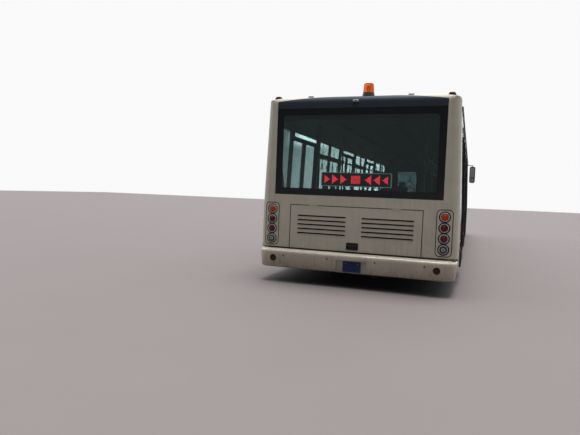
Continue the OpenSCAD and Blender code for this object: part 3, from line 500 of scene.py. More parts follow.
# Surface chain for every opaque finish: grain and mottle, then scuffs, then dirt, into one Principled shader
def makeFinish(name, look):
    made, nodes, shader = newMaterial(name, look["paint"])
    paint = (*look["paint"], 1)
    if "edge" in look:
        # Roof colour wraps over the panel where height + bend x^2 > limit
        limit, bend = look["edge"]
        place = nodes.axes(nodes.place())
        bow = nodes.times(nodes.times(place["X"], place["X"]), bend)
        over = nodes.ramp(nodes.plus(place["Z"], bow), limit - 0.001, limit + 0.001)
        paint = nodes.mix(over, paint, (*look["edgePaint"], 1))
    grain = nodes.group("grain",
                        {"Scale": look["grain"], "Peel": look["peel"], "Mottle": 0.16, "Colour": paint})
    scuff = nodes.group("scuff", {"Amount": look["scuff"]})["Mask"]
    dirt = nodes.group("dirt", {
        "Paint": nodes.mix(scuff, grain["Colour"], (*look["under"], 1)), "Dirt": roadDust,
        "Amount": look["dirt"], "Top": look["top"], "Streaks": look["streaks"], "Roughness": look["rough"],
        "Settled": look.get("settled", 0.0)})
    nodes.fill(shader, {
        "Base Color": dirt["Colour"],
        "Roughness": dirt["Roughness"],
        "Normal": nodes.bump(grain["Height"], look["bump"], 0.002),
        "Metallic": look.get("metal", 0.0),
        "Coat Weight": look.get("coat", 0.0),
        "Coat Roughness": look.get("coatRough", 0.1),
        "Specular IOR Level": look.get("specular", 0.5)})
    return made


# Glazing: tinted clear glass, and rays from lamps pass straight through it. A faint pale cyan emission paints
# a glow of sky light over the glass
def makeGlass(name, tint, dust, paintedSkyGlow):
    made, nodes, shader = newMaterial(name, tint, 0.4)
    dirt = nodes.group("dirt", {
        "Paint": (*tint, 1), "Dirt": glassDust, "Amount": dust, "Top": 1.9, "Streaks": 0.5,
        "Roughness": 0.015})
    nodes.fill(shader, {
        "Base Color": dirt["Colour"],
        "Roughness": dirt["Roughness"],
        "Transmission Weight": 1.0,
        "IOR": 1.46,
        # Painted light: the glass glows pale cyan by emission, though it is no lamp
        "Emission Color": (0.78, 0.95, 0.97, 1),
        "Emission Strength": paintedSkyGlow})
    clear = nodes.add("BsdfTransparent", {"Color": (*[t ** 0.5 for t in tint], 1)})
    shadowRay = nodes.add("LightPath").outputs["Is Shadow Ray"]
    mixed = nodes.add("MixShader", {0: shadowRay, 1: shader.outputs[0], 2: clear.outputs[0]})
    nodes.fill(made.node_tree.nodes["Material Output"], {"Surface": mixed.outputs[0]})
    return made


# Lamp lens: coloured plastic, a little light passes, with prism ribs as bump and as painted shade between the
# ribs. A weak emission in the lens's own colour paints the light that shines through it
def makeLens(name, colour, paintedGlow, transmission, ribs):
    made, nodes, shader = newMaterial(name, colour)
    prism = nodes.math("MAXIMUM", *(nodes.waves(direction, ribs) for direction in "XZ"))
    shadow = tuple(c * 0.75 for c in colour)
    dirt = nodes.group("dirt", {
        "Paint": nodes.mix(prism, (*shadow, 1), (*colour, 1)), "Dirt": roadDust, "Amount": 0.08, "Top": 1.4,
        "Streaks": 0.3, "Roughness": 0.22})
    nodes.fill(shader, {
        "Base Color": dirt["Colour"],
        "Roughness": dirt["Roughness"],
        "Normal": nodes.bump(prism, 0.25, 0.001),
        # Painted light: the lens glows by emission in its own colour, with no lamp lit behind it
        "Emission Color": dirt["Colour"],
        "Emission Strength": paintedGlow,
        "Transmission Weight": transmission,
        "Specular IOR Level": 0.3})
    return made


# Lit LED dots: emission that varies a little from dot to dot. The sign's pale frame takes it too, as a
# painted glow
def makeLed(name, colour, strength):
    made, nodes, shader = newMaterial(name, colour)
    flicker = nodes.noise(120, 1, 0.55)
    lit = nodes.shaded((*colour, 1), nodes.ramp(flicker, 0.0, 1.0, (0.65, 1.0)))
    nodes.fill(shader,
               {"Emission Color": lit, "Base Color": lit, "Emission Strength": strength, "Roughness": 0.4})
    return made


def makeFabric(name, thread, gap):
    made, nodes, shader = newMaterial(name, thread)
    weave = nodes.group("weave", {"Thread": (*thread, 1), "Gap": (*gap, 1)})
    nodes.fill(shader, {
        "Base Color": weave["Colour"],
        "Normal": nodes.bump(weave["Height"], 0.5, 0.0015),
        "Roughness": 0.88,
        "Sheen Weight": 0.25,
        "Sheen Roughness": 0.4})
    return made


# Rows of each special material: glass has tint, dust and painted glow; a lens has colour, painted glow,
# transmission and ribs
special = (
    (makeGlass, "rearGlass", (0.37, 0.45, 0.44), 0.10, 0.009),
    (makeGlass, "sideGlass", (0.50, 0.61, 0.60), 0.14, 0.003),
    (makeGlass, "darkGlass", (0.035, 0.045, 0.045), 0.10, 0.0),
    (makeLens, "redLens", (0.12, 0.002, 0.016), 0.08, 0.1, 300),
    (makeLens, "darkRedLens", (0.040, 0.002, 0.007), 0.02, 0.0, 300),
    (makeLens, "amberLens", (0.58, 0.050, 0.006), 0.10, 0.3, 300),
    (makeLens, "markerLens", (0.75, 0.17, 0.01), 0.2, 0.3, 300),
    (makeLens, "beaconLens", (0.90, 0.17, 0.030), 0.14, 0.45, 120),
    (makeLens, "clearLens", (0.55, 0.56, 0.55), 0.0, 0.6, 300),
    # The sign's frame is no lamp: its emission is painted light
    (makeLed, "signFrame", (0.30, 0.40, 0.38), 0.55),
    (makeLed, "litRed", (1.0, 0.03, 0.06), 3.6),
    (makeFabric, "fabric", (0.05, 0.06, 0.10), (0.018, 0.02, 0.03)),
)
materials = {name: makeFinish(name, finish) for name, finish in finishes.items()}
for maker, name, *values in special:
    materials[name] = maker(name, *values)
print("materials ready:", len(materials))

# The finish of each of the record's material slots, for the solids that stay
slotFinishes = {
    "underframe": "underframe", "floor_covering": "floorCover", "inner_panels": "innerPanel",
    "body_paint": "bodyPaint", "roof_paint": "roofPaint", "black_gloss": "blackGloss",
    "window_glass": "sideGlass", "bumper_paint": "bumperPaint", "door_frame": "doorFrame",
    "red_lens": "redLens", "clear_lens": "clearLens", "amber_lens": "amberLens", "black_trim": "blackTrim",
    "display_face": "ledBoard", "dash_plastic": "dashPlastic", "seat_fabric": "fabric",
    "seat_plastic": "seatPlastic", "rail_yellow": "railYellow", "ceiling_lining": "ceiling",
    "cast_metal": "castMetal",
    "axle_black": "axleBlack", "tyre_rubber": "tyreRubber", "rim_steel": "wheelSteel",
}


# Smooth shading for the solids: merge loose triangles, drop stored normals, sharp above an angle
def makeShading(angle):
    tree = bpy.data.node_groups.new("SolidShading", "GeometryNodeTree")
    tree.is_modifier = True
    for direction in ("INPUT", "OUTPUT"):
        tree.interface.new_socket("Geometry", in_out=direction, socket_type="NodeSocketGeometry")
    nodes, links = tree.nodes, tree.links
    merge = nodes.new("GeometryNodeMergeByDistance")
    merge.inputs["Distance"].default_value = meshing["solidMerge"]
    drop = nodes.new("GeometryNodeRemoveAttribute")
    drop.inputs["Name"].default_value = "custom_normal"
    smoothFaces = nodes.new("GeometryNodeSetShadeSmooth")
    sharpEdges = nodes.new("GeometryNodeSetShadeSmooth")
    sharpEdges.domain = "EDGE"
    edge = nodes.new("GeometryNodeInputMeshEdgeAngle")
    compare = nodes.new("FunctionNodeCompare")
    compare.inputs[1].default_value = math.radians(angle)
    compare.operation = "LESS_THAN"
    chain = [nodes.new("NodeGroupInput"), merge, drop, smoothFaces, sharpEdges, nodes.new("NodeGroupOutput")]
    for before, after in zip(chain, chain[1:]):
        links.new(before.outputs[0], after.inputs[0])
    links.new(edge.outputs["Unsigned Angle"], compare.inputs[0])
    links.new(compare.outputs[0], sharpEdges.inputs["Shade Smooth"])
    return tree


solidShading = makeShading(meshing["solidSharp"])
nodeSlots = {row["node"]: row["material_slot"] for row in frame["record"]["subparts"]}
for nodeName, solid in frame["nodes"].items():
    solid.data.materials.clear()
    solid.data.materials.append(materials[slotFinishes[nodeSlots[nodeName]]])
    solid.modifiers.new("shading", "NODES").node_group = solidShading
print("solids dressed")


# y of the rear panel's skin at x: flat, then the corner's arc
def rearSkin(x, proud=0.0):
    over = np.maximum(np.abs(x) - (body["halfWidth"] - body["rearCornerR"]), 0)
    r = body["rearCornerR"] + proud
    return body["rearY"] + body["rearCornerR"] - np.sqrt(np.maximum(r * r - over * over, 1e-9))


# How far the skin leans in at height z: nothing up to the belt, then in proportion
def leanAt(z):
    return body["leanIn"] * (np.maximum(z - body["beltZ"], 0) / (body["cantZ"] - body["beltZ"]))


def sideSkin(z, proud=0.0):
    return body["halfWidth"] + proud - leanAt(z)


# Front face: raked above the bumper, and held by the corners' arcs: y = the smaller of plane and arc
def frontSkin(x, z, proud=0.0):
    raked = body["frontY"] - 0.1211 * np.maximum(z - 1.12, 0)
    r = body["frontCornerR"]
    over = np.maximum(np.abs(x) - (body["halfWidth"] - leanAt(z) - r), 0)
    arc = body["frontY"] - r + np.sqrt(np.maximum(r * r - over * over, 1e-9))
    return np.minimum(raked, arc) + proud


# Rear window: tinted pane whose edge carries a black print on both faces, and its rubber seal
rearWindow = {
    "pane": (-1.267, 1.267, 1.373, 2.687),
    "clear": (-1.165, 1.165, 1.475, 2.585),
    "corner": 0.012,
    "clearCorner": 0.05,
    "outer": 6.796,
    "inner": 6.786,
    "printIn": 0.0025,
    "printed": 0.0006,
    "sealGrows": (0.003, 0.0002),
    "sealFace": 6.7985,
}


def makeRearWindow(look):
    pane, corner, inner, outer = look["pane"], look["corner"], look["inner"], look["outer"]
    levels = ((-0.001, inner), (0.0, inner + 0.001), (0.0, outer - 0.002), (-0.002, outer))
    edge = roundedRect(*pane, corner, -look["printIn"])
    clear = roundedRect(*look["clear"], look["clearCorner"])
    prints = [flatRing(edge, clear, low, low + look["printed"], "-y", 1)
              for low in (outer, inner - look["printed"])]
    makePiece("rearWindowPane", [tiers(pane, corner, levels, "-y"), *prints], "rearGlass printBlack",
              replaces=["rear_window"])
    makePiece("rearWindowSeal", [rectRing(pane, corner, look["sealGrows"], inner, look["sealFace"], "-y")],
              "rubber")


# Rear lamps: four round lamps a side, each in a gasket and a bezel, in one plate outline.
# Profiles of [radius, height]; rows of [z, material of the lens]
tailLamps = {
    "x": 1.3,
    "seat": -6.788,
    "rows": ((1.135, 3), (0.980, 2), (0.830, 2), (0.675, 1)),
    "gasket": ((0.0645, 0.0), (0.0655, 0.005), (0.071, 0.0065), (0.079, 0.006), (0.0822, 0.003),
               (0.0822, 0.0)),
    "bezel": ((0.0510, 0.0), (0.0515, 0.012), (0.0540, 0.0158), (0.0600, 0.0162), (0.0640, 0.0135),
              (0.0650, 0.008), (0.0650, 0.0)),
    "well": ((0.0, 0.006), (0.0450, 0.006), (0.0512, 0.009)),
    "can": ((0, -0.045), (0.0495, -0.045), (0.0495, 0.0), (0.0, 0.0)),
    "lensR": 0.0455,
    "domeTop": 0.026,
    "domeDrop": 0.013,
    "ripple": 0.0006,
    "rippleStep": 0.0062,
    "dimple": (0.006, 0.011),
    "darkRing": ((0.033, 0.012), (0.033, 0.0255), (0.035, 0.0265), (0.042, 0.0235), (0.045, 0.0150),
                 (0.045, 0.012)),
    "darkDot": ((0.0, 0.012), (0.009, 0.012), (0.009, 0.0262), (0.0, 0.0268)),
    "plate": (1.188, 1.413, 0.575, 1.24, 0.06),
    "seam": ((-0.0003, -0.0038), (-0.0003, 0.0), (0.0034, 0.0006), (-0.0082, 0.0006), (-0.0047, 0.0),
             (-0.0047, -0.0038)),
}


# Lens height = top - drop (r / R)^2.2 + ripple cos(2 pi r / step) - dimple exp(-(r / width)^2)
def makeTailLamps(look):
    lensR = look["lensR"]
    radius = np.linspace(0, lensR, 25)
    depth, width = look["dimple"]
    dome = look["domeTop"] - look["domeDrop"] * (radius / lensR) ** 2.2
    dome += look["ripple"] * np.cos(2 * math.pi * radius / look["rippleStep"])
    dome -= depth * np.exp(-(radius / width) ** 2)
    lens = np.concatenate([np.stack([radius, dome], 1), [(lensR + 0.0005, 0.008)]])
    patches = []
    for height, lensMaterial in look["rows"]:
        centre = (look["x"], look["seat"], height)
        patches += [turned(look["gasket"], "-y", centre, closed=True),
                    turned(look["bezel"], "-y", centre, 1, closed=True), turned(look["well"], "-y", centre),
                    turned(lens, "-y", centre, lensMaterial), turned(look["can"], "-y", centre)]
    # The lowest is the reversing lamp: a dark ring and a dark dot on a pale disc
    patches.append(turned(look["darkRing"], "-y", centre, closed=True))
    patches.append(turned(look["darkDot"], "-y", centre, segments=24))
    makePiece("tailLampRings", bothSides(patches), "gapBlack bezelGrey redLens amberLens",
              replaces=["tail_lamps"])
    rings = []
    for grow, proud in look["seam"]:
        outline = roundedRect(*look["plate"], grow, 8)
        rings.append(spots(outline[:, 0], rearSkin(outline[:, 0], proud), outline[:, 1]))
    makePiece("lampPlateSeams", bothSides([lofted(rings, closed=True)]), "gapBlack")


# Corner lamps on the roof's rear edge: dark red foot, red lens that narrows upwards; round reflectors below
markerLamps = {
    "box": (1.252, 1.360, -6.715, -6.610),
    "corner": 0.012,
    "foot": ((0.0, 2.812), (0.0, 2.865), (-0.002, 2.868)),
    "lensZ": (2.868, 2.898),
    "taper": (0.016, 0.0048),
    "rounding": (0.003, 0.007, 0.72),
    "reflector": (1.23, -6.8925, 0.38),
    "reflectorR": 0.0517,
    "rim": ((0.0427, -0.004), (0.0437, 0.0), (0.0487, 0.0006), (0.0517, -0.002), (0.0517, -0.0175),
            (0, -0.0175)),
    "discR": 0.0432,
    "disc": (-0.0015, 0.003),
}


def makeMarkerLamps(look):
    x0, x1, y0, y1 = look["box"]
    low, top = look["lensZ"]
    narrowX, narrowY = look["taper"]
    inset, more, shoulder = look["rounding"]
    levels = []
    # The lens narrows upwards, and above its shoulder: inset + more ((share - shoulder) / (1 - shoulder))^2
    for share in np.linspace(0, 1, 9):
        x, y = narrowX * share, narrowY * share
        grow = -inset - more * (max(share - shoulder, 0) / (1 - shoulder)) ** 2
        outline = roundedRect(x0 + x, x1 - x, y0 + y, y1 - y, look["corner"], grow)
        levels.append((outline, low + (top - low) * share))
    base, lens = tiers(look["box"], look["corner"], look["foot"], "z", 1), stacked(levels, "z", 2)
    # Disc height = a - b (r / R)^2
    a, b = look["disc"]
    radius = np.linspace(0, look["discR"], 16)
    profile = np.stack([radius, a - b * (radius / look["reflectorR"]) ** 2], 1)
    rim = turned(look["rim"], "-y", look["reflector"], 1)
    disc = turned(profile, "-y", look["reflector"])
    makePiece("markerLamps", bothSides([base, lens, rim, disc]), "darkRedLens gapBlack redLens",
              replaces=["marker_lamps"])


# Roof beacon: black foot, ribbed amber dome with a flat top, and its bulb. Heights count from the foot's seat
beacon = {
    "centre": (0.06, -6.4, 2.952),
    "high": 0.153,
    "foot": ((0, -0.049), (0.0945, -0.049), (0.0945, -0.012), (0.0905, -0.004), (0.0885, 0.008),
             (0.084, 0.012), (0.0, 0.012)),
    "ring": ((0.080, 0.006), (0.0868, 0.010), (0.0868, 0.020), (0.083, 0.024), (0.078, 0.024)),
    "crown": ((0.073, 0.153), (0.0725, 0.159), (0.067, 0.164), (0.05, 0.1642), (0.0, 0.165)),
    "bulb": ((0, 0.02), (0.022, 0.02), (0.024, 0.05), (0.034, 0.07), (0.034, 0.11), (0.022, 0.13),
             (0, 0.135)),
    "low": 0.02,
    "radius": 0.0835,
    "taper": 0.0105,
    "ribs": 44,
    "ribDepth": 0.0016,
    "pointsPerRib": 6,
}


def makeBeacon(look):
    centre, ribs = look["centre"], look["ribs"]
    segments = ribs * look["pointsPerRib"]
    angle = around(segments)
    level = np.linspace(0, 1, 24)[:, None]
    # Wall radius = R - taper * level + rib |sin(n a / 2)|, and the ribs fade at both ends
    fade = np.clip(np.sin(level * math.pi) * 6, 0, 1)
    rib = look["ribDepth"] * np.abs(np.sin(angle * ribs / 2))
    radius = look["radius"] - look["taper"] * level + rib * fade
    wall = placed(radius * np.cos(angle), radius * np.sin(angle),
                  look["low"] + (look["high"] - look["low"]) * level, "z", centre)
    makePiece("beaconDome", [
        turned(look["foot"], "z", centre), turned(look["ring"], "z", centre),
        surface(wall, 1, closeColumns=True), turned(look["crown"], "z", centre, 1, segments),
        turned(look["bulb"], "z", centre, 2)],
        "blackTrim beaconLens chrome", replaces=["beacon"])


# Sign behind the rear window: case, pale frame painted with a glow of emission, and red dots in plain
# arrowheads and a block
sign = {
    "case": (-0.53, 0.53, 1.52, 1.73),
    "back": 6.728,
    "face": 6.784,
    "board": 6.778,
    "frame": 0.011,
    "pitch": 0.0108,
    "rows": 15,
    "columns": 91,
    "dotR": 0.0046,
    "dotHigh": 0.0016,
}


# Generic pattern over the board: rows of solid arrowheads that point to the middle, a block between them.
# An arrowhead is lit where |row - middle| <= its height minus the distance from its tip
def signPattern(rows, columns):
    r, c = np.meshgrid(np.arange(rows), np.arange(columns), indexing="ij")
    bend = np.abs(r - rows // 2)
    fromEdge = np.minimum(c, columns - 1 - c)
    step = fromEdge % 12
    arrows = (step < 9) & (bend <= 6 - step * 0.75) & (fromEdge < 36) & (fromEdge > 0)
    block = (fromEdge >= 39) & (bend < 6) & ((c + r) % 4 > 0)
    return arrows | block


def makeSign(look):
    box, rows, columns, pitch, dotR = (look[key] for key in ("case", "rows", "columns", "pitch", "dotR"))
    case = plate(*box, 0.006, look["back"], look["board"], "-y")
    outer, inner = roundedRect(*box, 0.006), roundedRect(*box, 0.004, -look["frame"])
    rim = flatRing(outer, inner, look["back"], look["face"], "-y", 1)
    r, c = np.nonzero(signPattern(rows, columns))
    dots = spots((c - (columns - 1) / 2) * pitch, 0.0, (box[2] + box[3]) / 2 + (r - (rows - 1) / 2) * pitch)
    dot = stacked([(circleProfile(dotR, 8), look["board"]),
                   (circleProfile(dotR * 0.6, 8), look["board"] + look["dotHigh"])],
                  "-y", 2)
    makePiece("routeSign", [case, rim, repeated(dot, dots)], "ledBoard signFrame litRed",
              replaces=["destination_display"])


# Blank number plates: the rear one sunk in the bumper's recess with two screws, the front one on the bumper
numberPlates = {
    "rear": {"name": "numberPlateBlank", "box": (-0.126, 0.158, 0.244, 0.413), "corner": 0.012,
             "faces": (6.866, 6.8715), "axis": "-y", "rim": 0.007, "screws": (-0.076, 0.108)},
    "front": {"name": "frontPlateBlank", "box": (-0.14, 0.14, 0.30, 0.41), "corner": 0.010,
              "faces": (6.884, 6.8965), "axis": "y", "rim": 0.009, "screws": ()},
    "screw": ((0.008, -0.001), (0.008, 0.002), (0.005, 0.0035), (0.0, 0.0035)),
    "screwUp": 0.05,
}


def makeNumberPlate(look, screw, screwUp):
    box, axis = look["box"], look["axis"]
    back, face = look["faces"]
    board = plate(*box, look["corner"], back, face, axis, 0.0012)
    rim = rectRing(box, look["corner"], (-0.002, -look["rim"]), face - 0.001, face + 0.0015, axis, 1)
    level = (box[2] + box[3]) / 2 + screwUp
    screws = [turned(screw, axis, (x, -face, level), 1, segments=16) for x in look["screws"]]
    makePiece(look["name"], [board, rim, *screws], "plateBlue greyPlastic")


# Parking sensors in the bumper: a cap in each hole
sensors = {
    "xs": (-1.062, -0.361, 0.361, 1.062),
    "face": -6.8943,
    "z": 0.424,
    "cap": ((0, -0.02), (0.0122, -0.02), (0.0122, -0.002), (0.0102, 0.0), (0.00732, 0.0), (0.0061, -0.0015),
            (0, -0.0015)),
}


def makeSensors(look):
    cap = turned(look["cap"], "-y", (0, look["face"], look["z"]), segments=24)
    makePiece("sensorCaps", [repeated(cap, spots(look["xs"]))], "gapBlack")


# Rear flap: dark mesh behind the louvre slots, a dark lining on each slot's inner walls as painted shade, and
# the moulded tray and grip of the handle
flapTrim = {
    "slot": (0.119, 0.880, 0.776, 0.798),
    "slotCorner": 0.0109,
    "shadeLiningGrows": (-0.0004, -0.0016),
    "shadeLiningDepth": (6.764, 6.7985),
    "sheet": (0.1195, 0.8795, 0.7765, 0.7975, 0.010, 6.764, 6.772),
    "rib": (-0.0012, 0.0012, 0.7768, 0.7972, 0.0006, 6.772, 6.782),
    "ribXs": (0.139, 0.860, 44),
    "rows": 5,
    "pitch": 0.0665,
    "handle": (-0.092, 0.081, 0.576, 0.677),
    "corner": 0.012,
    "tray": ((-0.0004, 6.7755), (-0.0004, 6.7998), (0.006, 6.7998), (0.006, 6.802), (0.004, 6.8035),
             (-0.001, 6.8035), (-0.003, 6.801), (-0.005, 6.7795), (-0.009, 6.7765)),
    "trayRib": (-0.084, 0.073, -0.0025, 0.0025, 0.002, 6.7755, 6.7835),
    "trayRibZs": (0.590, 0.663, 6),
    "grip": (-0.0926, 0.0816, 0.6335, 0.6505, 0.005, 6.784, 6.8005),
}


def makeFlapTrim(look):
    up = np.arange(look["rows"]) * look["pitch"]
    sheet = plate(*look["sheet"], "-y", 0.001, 0, 8)
    # Painted shade: a dark lining covers each slot's inner walls so they read as shade
    sleeve = rectRing(look["slot"], look["slotCorner"], look["shadeLiningGrows"], *look["shadeLiningDepth"], "-y", 0, 8)
    rib = plate(*look["rib"], "-y", 0.0004, 0, 1)
    parts = [repeated(patch, spots(0.0, 0.0, up)) for patch in (sheet, sleeve)]
    parts.append(repeated(rib, spots(np.linspace(*look["ribXs"]), 0.0, up[:, None])))
    makePiece("louvreMeshAndShadeLining", bothSides(parts), "rubber", bodyName="flap")
    tray = tiers(look["handle"], look["corner"], look["tray"], "-y")
    ribs = repeated(plate(*look["trayRib"], "-y", 0.001), spots(0.0, 0.0, np.linspace(*look["trayRibZs"])))
    makePiece("flapHandle", [tray, ribs, plate(*look["grip"], "-y", 0.003)], "blackTrim", bodyName="flap")


# Camera hood on two feet and two clips on the black header
headerTrim = {
    "hood": (-0.088, -0.002, 2.774, 2.806, 0.008, 6.76, 6.816),
    "feet": (-0.084, -0.022),
    "foot": (0.0, 0.016, 2.738, 2.778, 0.004, 6.76, 6.809),
    "eye": ((0.010, -0.01), (0.010, 0.003), (0.008, 0.004), (0.0, 0.003)),
    "eyeAt": (-0.045, -6.816, 2.791),
    "clips": (-0.765, 0.745),
    "clip": (-0.040, 0.040, 2.856, 2.886, 0.006, 6.65, 6.735),
}


def makeHeaderTrim(look):
    feet = repeated(plate(*look["foot"], "-y", 0.002, 1), spots(look["feet"]))
    clips = repeated(plate(*look["clip"], "-y", 0.004, 2), spots(look["clips"]))
    eye = turned(look["eye"], "-y", look["eyeAt"], 1, segments=24)
    makePiece("headerTrim", [plate(*look["hood"], "-y", 0.004), feet, eye, clips],
              "bezelGrey rubber greyPlastic")


makeRearWindow(rearWindow)
makeTailLamps(tailLamps)
makeMarkerLamps(markerLamps)
makeBeacon(beacon)
makeSign(sign)
for end in ("rear", "front"):
    makeNumberPlate(numberPlates[end], numberPlates["screw"], numberPlates["screwUp"])
makeSensors(sensors)
makeFlapTrim(flapTrim)
makeHeaderTrim(headerTrim)
print("rear pieces made")


# Ring of points on the right side's skin from an outline in y and z
def onSide(outline, proud):
    return spots(sideSkin(outline[:, 1], proud), outline[:, 0], outline[:, 1])


# Band on the side between an outer and an inner outline, raised from one depth to another
def sideBand(outer, inner, low, high):
    return lofted([onSide(outer, low), onSide(outer, high), onSide(inner, high), onSide(inner, low)],
                  closed=True)


# Black print round a pane: the outline's corners, how far its edge and the see-through part lie inside them
def printRing(corners, radius, edge, clear, face, thickness=0.0007):
    outer = resampled(roundedOutline(insetCorners(corners, edge), max(radius - edge, 0.002)))
    inner = resampled(roundedOutline(insetCorners(corners, clear), max(radius - clear, 0.004)))
    return sideBand(outer, inner, face - 0.002, face + thickness)


# Upright or level strip on the right side: a rectangle in y and z with bevelled edges
def sideStrip(y0, y1, z0, z1, low, high, radius=0.002, material=0, bevel=0.001):
    rings = []
    for height, grow in ((low, 0.0), (high - bevel, 0.0), (high, -bevel)):
        rings.append(onSide(resampled(roundedRect(y0, y1, z0, z1, radius, grow), 96), height))
    return lofted(rings, material)


# Side glazing: every pane has a black printed edge, the saloon's have a band where the hopper pane begins.
# Bands go by how far their ends lie in, then z0, z1, depths; uprights by y0, y1, z0, z1, depths
sideWindows = {
    "windows": ((-4.03, -3.14), (-3.12, -2.17), (-0.49, 0.96), (2.63, 3.62), (3.64, 4.64)),
    "windowZ": (1.24, 2.50),
    "corner": 0.05,
    "quarter": ((-5.70, 1.24), (-5.70, 2.50), (-6.49, 2.50), (-5.86, 1.24)),
    "cabRight": ((4.76, 5.56), (5.58, 6.40)),
    "cabLeft": ((4.76, 5.20), (6.11, 6.40)),
    "driver": (5.32, 5.99, 1.24, 2.38),
    "driverUpright": (5.703, 5.727, 1.26, 2.36, -0.007, -0.001),
    "transom": (0.02, 2.134, 2.236, -0.007, -0.0038),
    "transomRail": (0.03, 2.226, 2.240, -0.005, 0.001, 0.003, 1),
    "upright": (-0.016, 0.016, 2.234, 2.474, -0.007, -0.0038),
    "fanHalf": 0.75,
    "fanZ": (2.395, 2.50),
    "paneEdge": 0.003,
    "clearIn": 0.028,
    "fanClearIn": 0.015,
    "face": -0.005,
}


def makeSideWindows(look):
    z0, z1 = look["windowZ"]
    face = look["face"]

    def pane(y0, y1, low=z0, high=z1, radius=look["corner"], inset=look["clearIn"]):
        return printRing(rectangle(y0, y1, low, high), radius, look["paneEdge"], inset, face)

    shared = [pane(*window) for window in look["windows"]]
    shared.append(printRing(look["quarter"], 0.006, look["paneEdge"], look["clearIn"], face))
    half = look["fanHalf"]
    shared += [pane(y - half, y + half, *look["fanZ"], 0.03, look["fanClearIn"]) for y in body["doorMiddles"]]
    for y0, y1 in look["windows"]:
        shared += [sideStrip(y0 + inwards, y1 - inwards, *strip)
                   for inwards, *strip in (look["transom"], look["transomRail"])]
    shared.append(repeated(sideStrip(*look["upright"]), spots(0.0, np.mean(look["windows"], 1))))
    patches = bothSides(shared) + [pane(*window) for window in look["cabRight"]]
    patches += [mirrored(pane(*window)) for window in look["cabLeft"]]
    makePiece("sideWindowPrint", patches, "printBlack blackTrim")
    door = [pane(*look["driver"]), sideStrip(*look["driverUpright"])]
    makePiece("driverWindowPrint", [mirrored(patch) for patch in door], "printBlack", bodyName="cab_door")


# Passenger doors: printed glass edges, seals along the meeting edges and round each leaf, push rails inside
doorTrim = {
    "leafFrame": 0.06,
    "middleGap": 0.002,
    "glassZ": (0.48, 2.365),
    "corner": 0.05,
    "paneEdge": 0.003,
    "clearIn": 0.023,
    "face": 0.020,
    "low": 0.30,
    "sealEnds": 0.002,
    "edgeSeal": 0.014,
    "edgeDepth": (0.016, 0.0285),
    "middleSeal": 0.012,
    "middleDepth": (0.018, 0.0305, 0.002, 0, 0.006),
    "sweep": (0.004, 0.304, 0.345, 0.02, 0.0285),
    "kickPlate": (0.09, 0.375, 0.455, 0.02, 0.0262, 0.012),
    "railZ": (1.02, 1.16),
    "railR": 0.010,
    "railIn": -0.034,
    "railEnd": 0.03,
}


def makeDoorTrim(look):
    half, frame, gap = body["doorWidth"] / 2, look["leafFrame"], look["middleGap"]
    low, top, ends = look["low"], body["doorTop"], look["sealEnds"]
    prints, seals, rails = [], [], []
    for middle in body["doorMiddles"]:
        for side in (-1, 1):
            outer = middle + side * half
            y0, y1 = sorted((middle + side * gap, outer))
            glass = rectangle(y0 + frame, y1 - frame, *look["glassZ"])
            prints.append(printRing(glass, look["corner"], look["paneEdge"], look["clearIn"], look["face"]))
            seals += [sideStrip(y0 + inwards, y1 - inwards, *strip)
                      for inwards, *strip in (look["sweep"], look["kickPlate"])]
            edge = sorted((outer, outer - side * look["edgeSeal"]))
            seals.append(sideStrip(*edge, low + ends, top - ends, *look["edgeDepth"]))
            for z in look["railZ"]:
                path = spots(sideSkin(z, look["railIn"]), np.linspace(y0 + frame, y1 - frame, 14), z)
                path[[0, -1], 0] += look["railEnd"]
                rails.append(carried(circleProfile(look["railR"], 10), path, (0, 0, 1), 1))
            width = look["middleSeal"]
            y = middle + side * (gap + width - 0.001)
            seals.append(sideStrip(y - width, y + width, low + ends, top - 2 * ends, *look["middleDepth"]))
    makePiece("doorGlassPrint", bothSides(prints), "printBlack")
    makePiece("doorSealsAndRails", bothSides(seals + rails), "rubber railYellow")


# Trim low on the sides: arch lips, marker lamps, seams of the skirt panels and their locks
skirtTrim = {
    "archR": 0.575,
    "archPoints": 72,
    "lip": ((-0.002, -0.004), (-0.002, 0.008), (0.004, 0.011), (0.022, 0.010), (0.030, 0.004),
            (0.030, -0.004)),
    "skirtZ": 0.283,
    "markerYs": (-6.05, -3.90, -2.34, -0.20, 0.80, 2.78, 4.78),
    "markerBase": (-0.062, 0.062, 0.594, 0.646, -0.001, 0.008, 0.012, 1, 0.002),
    "markerLens": (-0.054, 0.054, 0.601, 0.639, 0.006, 0.017, 0.010, 0, 0.005),
    "seamYs": (-5.665, -4.055, -2.13, -0.515, 0.985, 2.60, 4.66),
    "flaps": ((-0.46, 0.30, 0.33, 1.10), (0.32, 0.93, 0.33, 1.10), (2.66, 3.30, 0.33, 1.10),
              (-6.42, -5.72, 0.67, 0.945), (-4.03, -3.76, 0.80, 1.02)),
    "flapCorner": 0.018,
    "seam": 0.003,
    "seamFace": (-0.001, 0.0004, 0.0004, 0, 0.0002),
    "flapFace": (-0.001, 0.0005),
    "lock": ((0, -0.001), (0.016, -0.001), (0.016, 0.002), (0.0135, 0.004), (0.006, 0.004), (0.005, 0.0015),
             (0, 0.0015)),
    "lockIn": (0.07, 0.06),
}


